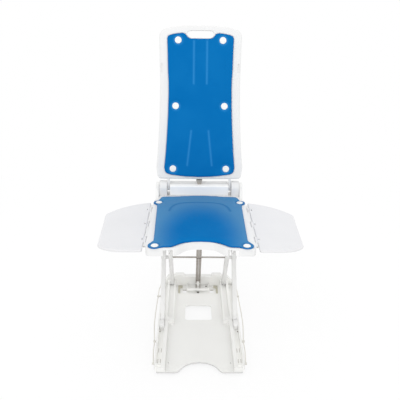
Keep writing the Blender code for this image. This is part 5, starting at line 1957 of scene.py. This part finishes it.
@dataclass
class Drive:
    """What sits under the seat: gearbox, motor, cover, spindle, nut, yoke, shafts and socket."""

    finishes: Finishes
    motor: Place = (0.052, 0.095, 0.4355)
    spindle: Place = (0.0, -0.2295, 0.446)
    thread: float = 0.2565
    hinge: Point = (0.222, 0.488)
    shaft: Point = (0.200, 0.440)
    flap_axis: Point = (0.1945, 0.4525)

    def build(self) -> None:
        """Makes every piece of the drive."""
        finishes = self.finishes
        dressed = (
            ("gearbox", "seat", 0.0016, finishes.grey, "grey_plastic"),
            ("drive_carriage", "carriage", 0.0009, finishes.grey, "grey_plastic"),
            ("spindle_bearing", "seat", 0.0012, finishes.arm, "white_plastic"),
            ("motor_cover", "seat", 0.0006, finishes.white, "white_plastic"),
            ("handset_socket", "seat", 0.0005, finishes.grey, "grey_plastic"),
            ("rear_beam", "seat", 0.0016, finishes.beam, "white_plastic"),
            ("back_buffer", "seat", 0.0008, finishes.tan, "tan_plastic"),
            ("hinge_cheek_left", "seat", 0.0020, finishes.arm, "base_plastic"),
            ("hinge_cheek_right", "seat", 0.0020, finishes.arm, "base_plastic"),
            ("spindle_nut", "carriage", 0.0004, finishes.brass, "brass"),
        )
        for node, body, width, finish, slot in dressed:
            piece = Workpiece.from_node(node + "_shell", node)
            piece.soften(width, 2, 35.0)
            fit(piece, finish, body, [node])
        self.make_motor()
        self.make_spindle()
        self.make_shafts()

    def make_motor(self) -> None:
        """Makes the motor with its collar, ribs and shaft."""
        profile = [(0.0, -0.0600), (0.0038, -0.0600), (0.0038, -0.0500), (0.0090, -0.0500), (0.0100, -0.0480)]
        profile += [(0.0165, -0.0480), (0.0175, -0.0470)]
        for step in range(6):
            at = -0.040 + step * 0.004
            profile += [(0.0175, at), (0.0168, at + 0.0006), (0.0168, at + 0.0018), (0.0175, at + 0.0024)]
        profile += [(0.0175, 0.0450), (0.0165, 0.0465), (0.0, 0.0465)]
        motor = Workpiece.spun("motor_turned", profile, turned(self.motor, "X", -1), 40).even_shading(35.0)
        fit(motor, self.finishes.dark, "seat", ["drive_motor"])

    def make_spindle(self) -> None:
        """Makes the spindle with the turns of its thread."""
        length, pitch = self.thread, 0.0030
        profile = [(0.0, 0.0), (0.0034, 0.0), (0.0040, 0.0008)]
        for step in range(int((length - 0.004) / pitch)):
            at = 0.0020 + step * pitch
            profile += [(0.0040, at), (0.0033, at + 0.0006), (0.0033, at + 0.0014), (0.0040, at + 0.0020)]
        profile += [(0.0040, length - 0.0006), (0.0034, length), (0.0, length)]
        place = turned(self.spindle, "X", -1)
        screw = Workpiece.spun("spindle_turned", profile, place, 24).even_shading(35.0)
        fit(screw, self.finishes.steel, "spindle", ["lift_spindle"])

    def make_shafts(self) -> None:
        """Makes the rear shaft, the backrest's hinge pins and the flaps' hinge pins."""
        steel = self.finishes.steel
        fit_pin("rear_shaft", "seat", steel, (-0.1645, *self.shaft), (0.1645, *self.shaft), 0.0050)
        for side, word in LEFT_RIGHT:
            fit_pin("back_hinge_pin_" + word, "seat", steel, (side * 0.1267, *self.hinge),
                    (side * 0.1668, *self.hinge))
            x, z = side * self.flap_axis[0], self.flap_axis[1]
            fit_pin("flap_pin_" + word, "seat", steel, (x, -0.2610, z), (x, 0.1030, z), 0.0018)


# Studio

@dataclass
class Studio:
    """Pale floor, plain backdrop, soft lamps and the camera of the photograph."""

    eye: Place = (-0.0356, -1.8219, 1.2505)
    yaw: float = 0.0189
    pitch: float = -0.3320
    roll: float = 0.0136
    lens: float = 45.67
    rise: float = -0.0625
    glow: float = 1.12
    floor_share: float = 0.84

    def build(self) -> None:
        """Makes the floor, the lamps, the backdrop and the camera."""
        self.make_floor()
        self.make_world()
        self.make_lamps()
        self.make_camera()

    def _white_for_camera(self, recipe: Recipe, surface: bpy.types.NodeSocket, share: float) -> None:
        """Mixes plain white into what the camera and mirrors see.

        Args:
            recipe: the floor's recipe.
            surface: its shaded surface.
            share: how white it is seen close to the lift.
        """
        glow = recipe.node("ShaderNodeEmission", None, {"Color": WHITE, "Strength": 1.0})
        across, along, _ = recipe.axes()
        far = ((across * across + along * along) ** 0.5).between(0.6, 2.2)
        part = recipe.seen() * (far * (1.0 - share) + share)
        mixed = recipe.node("ShaderNodeMixShader", None, {0: part, 1: surface, 2: glow.outputs[0]})
        recipe.feed(recipe.output.inputs["Surface"], mixed.outputs[0])

    def make_floor(self) -> None:
        """Adds the floor, which keeps the lift's shadow."""
        bpy.ops.object.select_all(action="DESELECT")
        bpy.ops.mesh.primitive_plane_add(size=14.0)
        floor = bpy.context.view_layer.objects.active
        floor.name = "studio_floor"
        recipe = Recipe("studio_floor")
        cloud = recipe.noise(3.0, 2.0)
        colour = recipe.blend(cloud * 0.3, (0.86, 0.86, 0.86), (0.84, 0.84, 0.84))
        recipe.finish(Base_Color=colour, Roughness=0.9, Specular_IOR_Level=0.0)
        self._white_for_camera(recipe, recipe.shader.outputs[0], self.floor_share)
        floor.data.materials.append(recipe.material)

    def make_world(self) -> None:
        """Sets a soft grey light all round, behind a white backdrop."""
        world = bpy.data.worlds.new("studio")
        bpy.context.scene.world = world
        board = Board(world)
        soft, plain = (board.node("ShaderNodeBackground", None, {"Color": WHITE, "Strength": strength})
                       for strength in (self.glow, 1.0))
        mixed = board.node("ShaderNodeMixShader", None,
                           {0: board.seen(), 1: soft.outputs[0], 2: plain.outputs[0]})
        board.node("ShaderNodeOutputWorld", None, {"Surface": mixed.outputs[0]})

    def make_lamps(self) -> None:
        """Adds three large soft lamps."""
        lamps = (("key", (-0.9, -1.5, 2.7), 1.6, 7.0), ("front", (0.3, -2.7, 1.2), 2.2, 9.0),
                 ("rear", (0.4, 1.9, 2.2), 1.4, 4.0))
        for name, place, size, power in lamps:
            light = bpy.data.lights.new(name, "AREA")
            light.size = size
            light.energy = power
            lamp = bpy.data.objects.new(name, light)
            lamp.location = place
            aim = Vector((0.0, 0.0, 0.45)) - Vector(place)
            lamp.rotation_euler = aim.to_track_quat("-Z", "Y").to_euler()
            bpy.context.scene.collection.objects.link(lamp)

    def make_camera(self) -> None:
        """Sets the camera where the photograph was taken from."""
        flat = math.cos(self.pitch)
        forward = Vector((math.sin(self.yaw) * flat, math.cos(self.yaw) * flat, math.sin(self.pitch)))
        level = Vector((math.cos(self.yaw), -math.sin(self.yaw), 0.0))
        above = level.cross(forward)
        right = level * math.cos(self.roll) + above * math.sin(self.roll)
        up = above * math.cos(self.roll) - level * math.sin(self.roll)
        lens = bpy.data.cameras.new("camera")
        lens.lens = self.lens
        lens.sensor_width = 36.0
        lens.shift_y = self.rise
        lens.clip_start = 0.05
        lens.clip_end = 60.0
        camera = bpy.data.objects.new("camera", lens)
        turn = Matrix((right, up, -forward)).transposed()
        camera.matrix_world = Matrix.Translation(self.eye) @ turn.to_4x4()
        bpy.context.scene.collection.objects.link(camera)
        bpy.context.scene.camera = camera


def main() -> None:
    """Builds the lift, piece by piece, and the studio round it."""
    logging.basicConfig(level=logging.INFO, format="%(name)s: %(message)s", stream=sys.stdout)
    Studio().build()
    finishes = Finishes()
    Base(finishes).build()
    Scissor(finishes).build()
    Drive(finishes).build()
    Seat(finishes).build()
    for side, word in LEFT_RIGHT:
        SideFlap(finishes, side, word).build()
    Backrest(finishes).build()
    bpy.context.scene.view_settings.view_transform = "Standard"


if __name__ == "__main__":
    main()
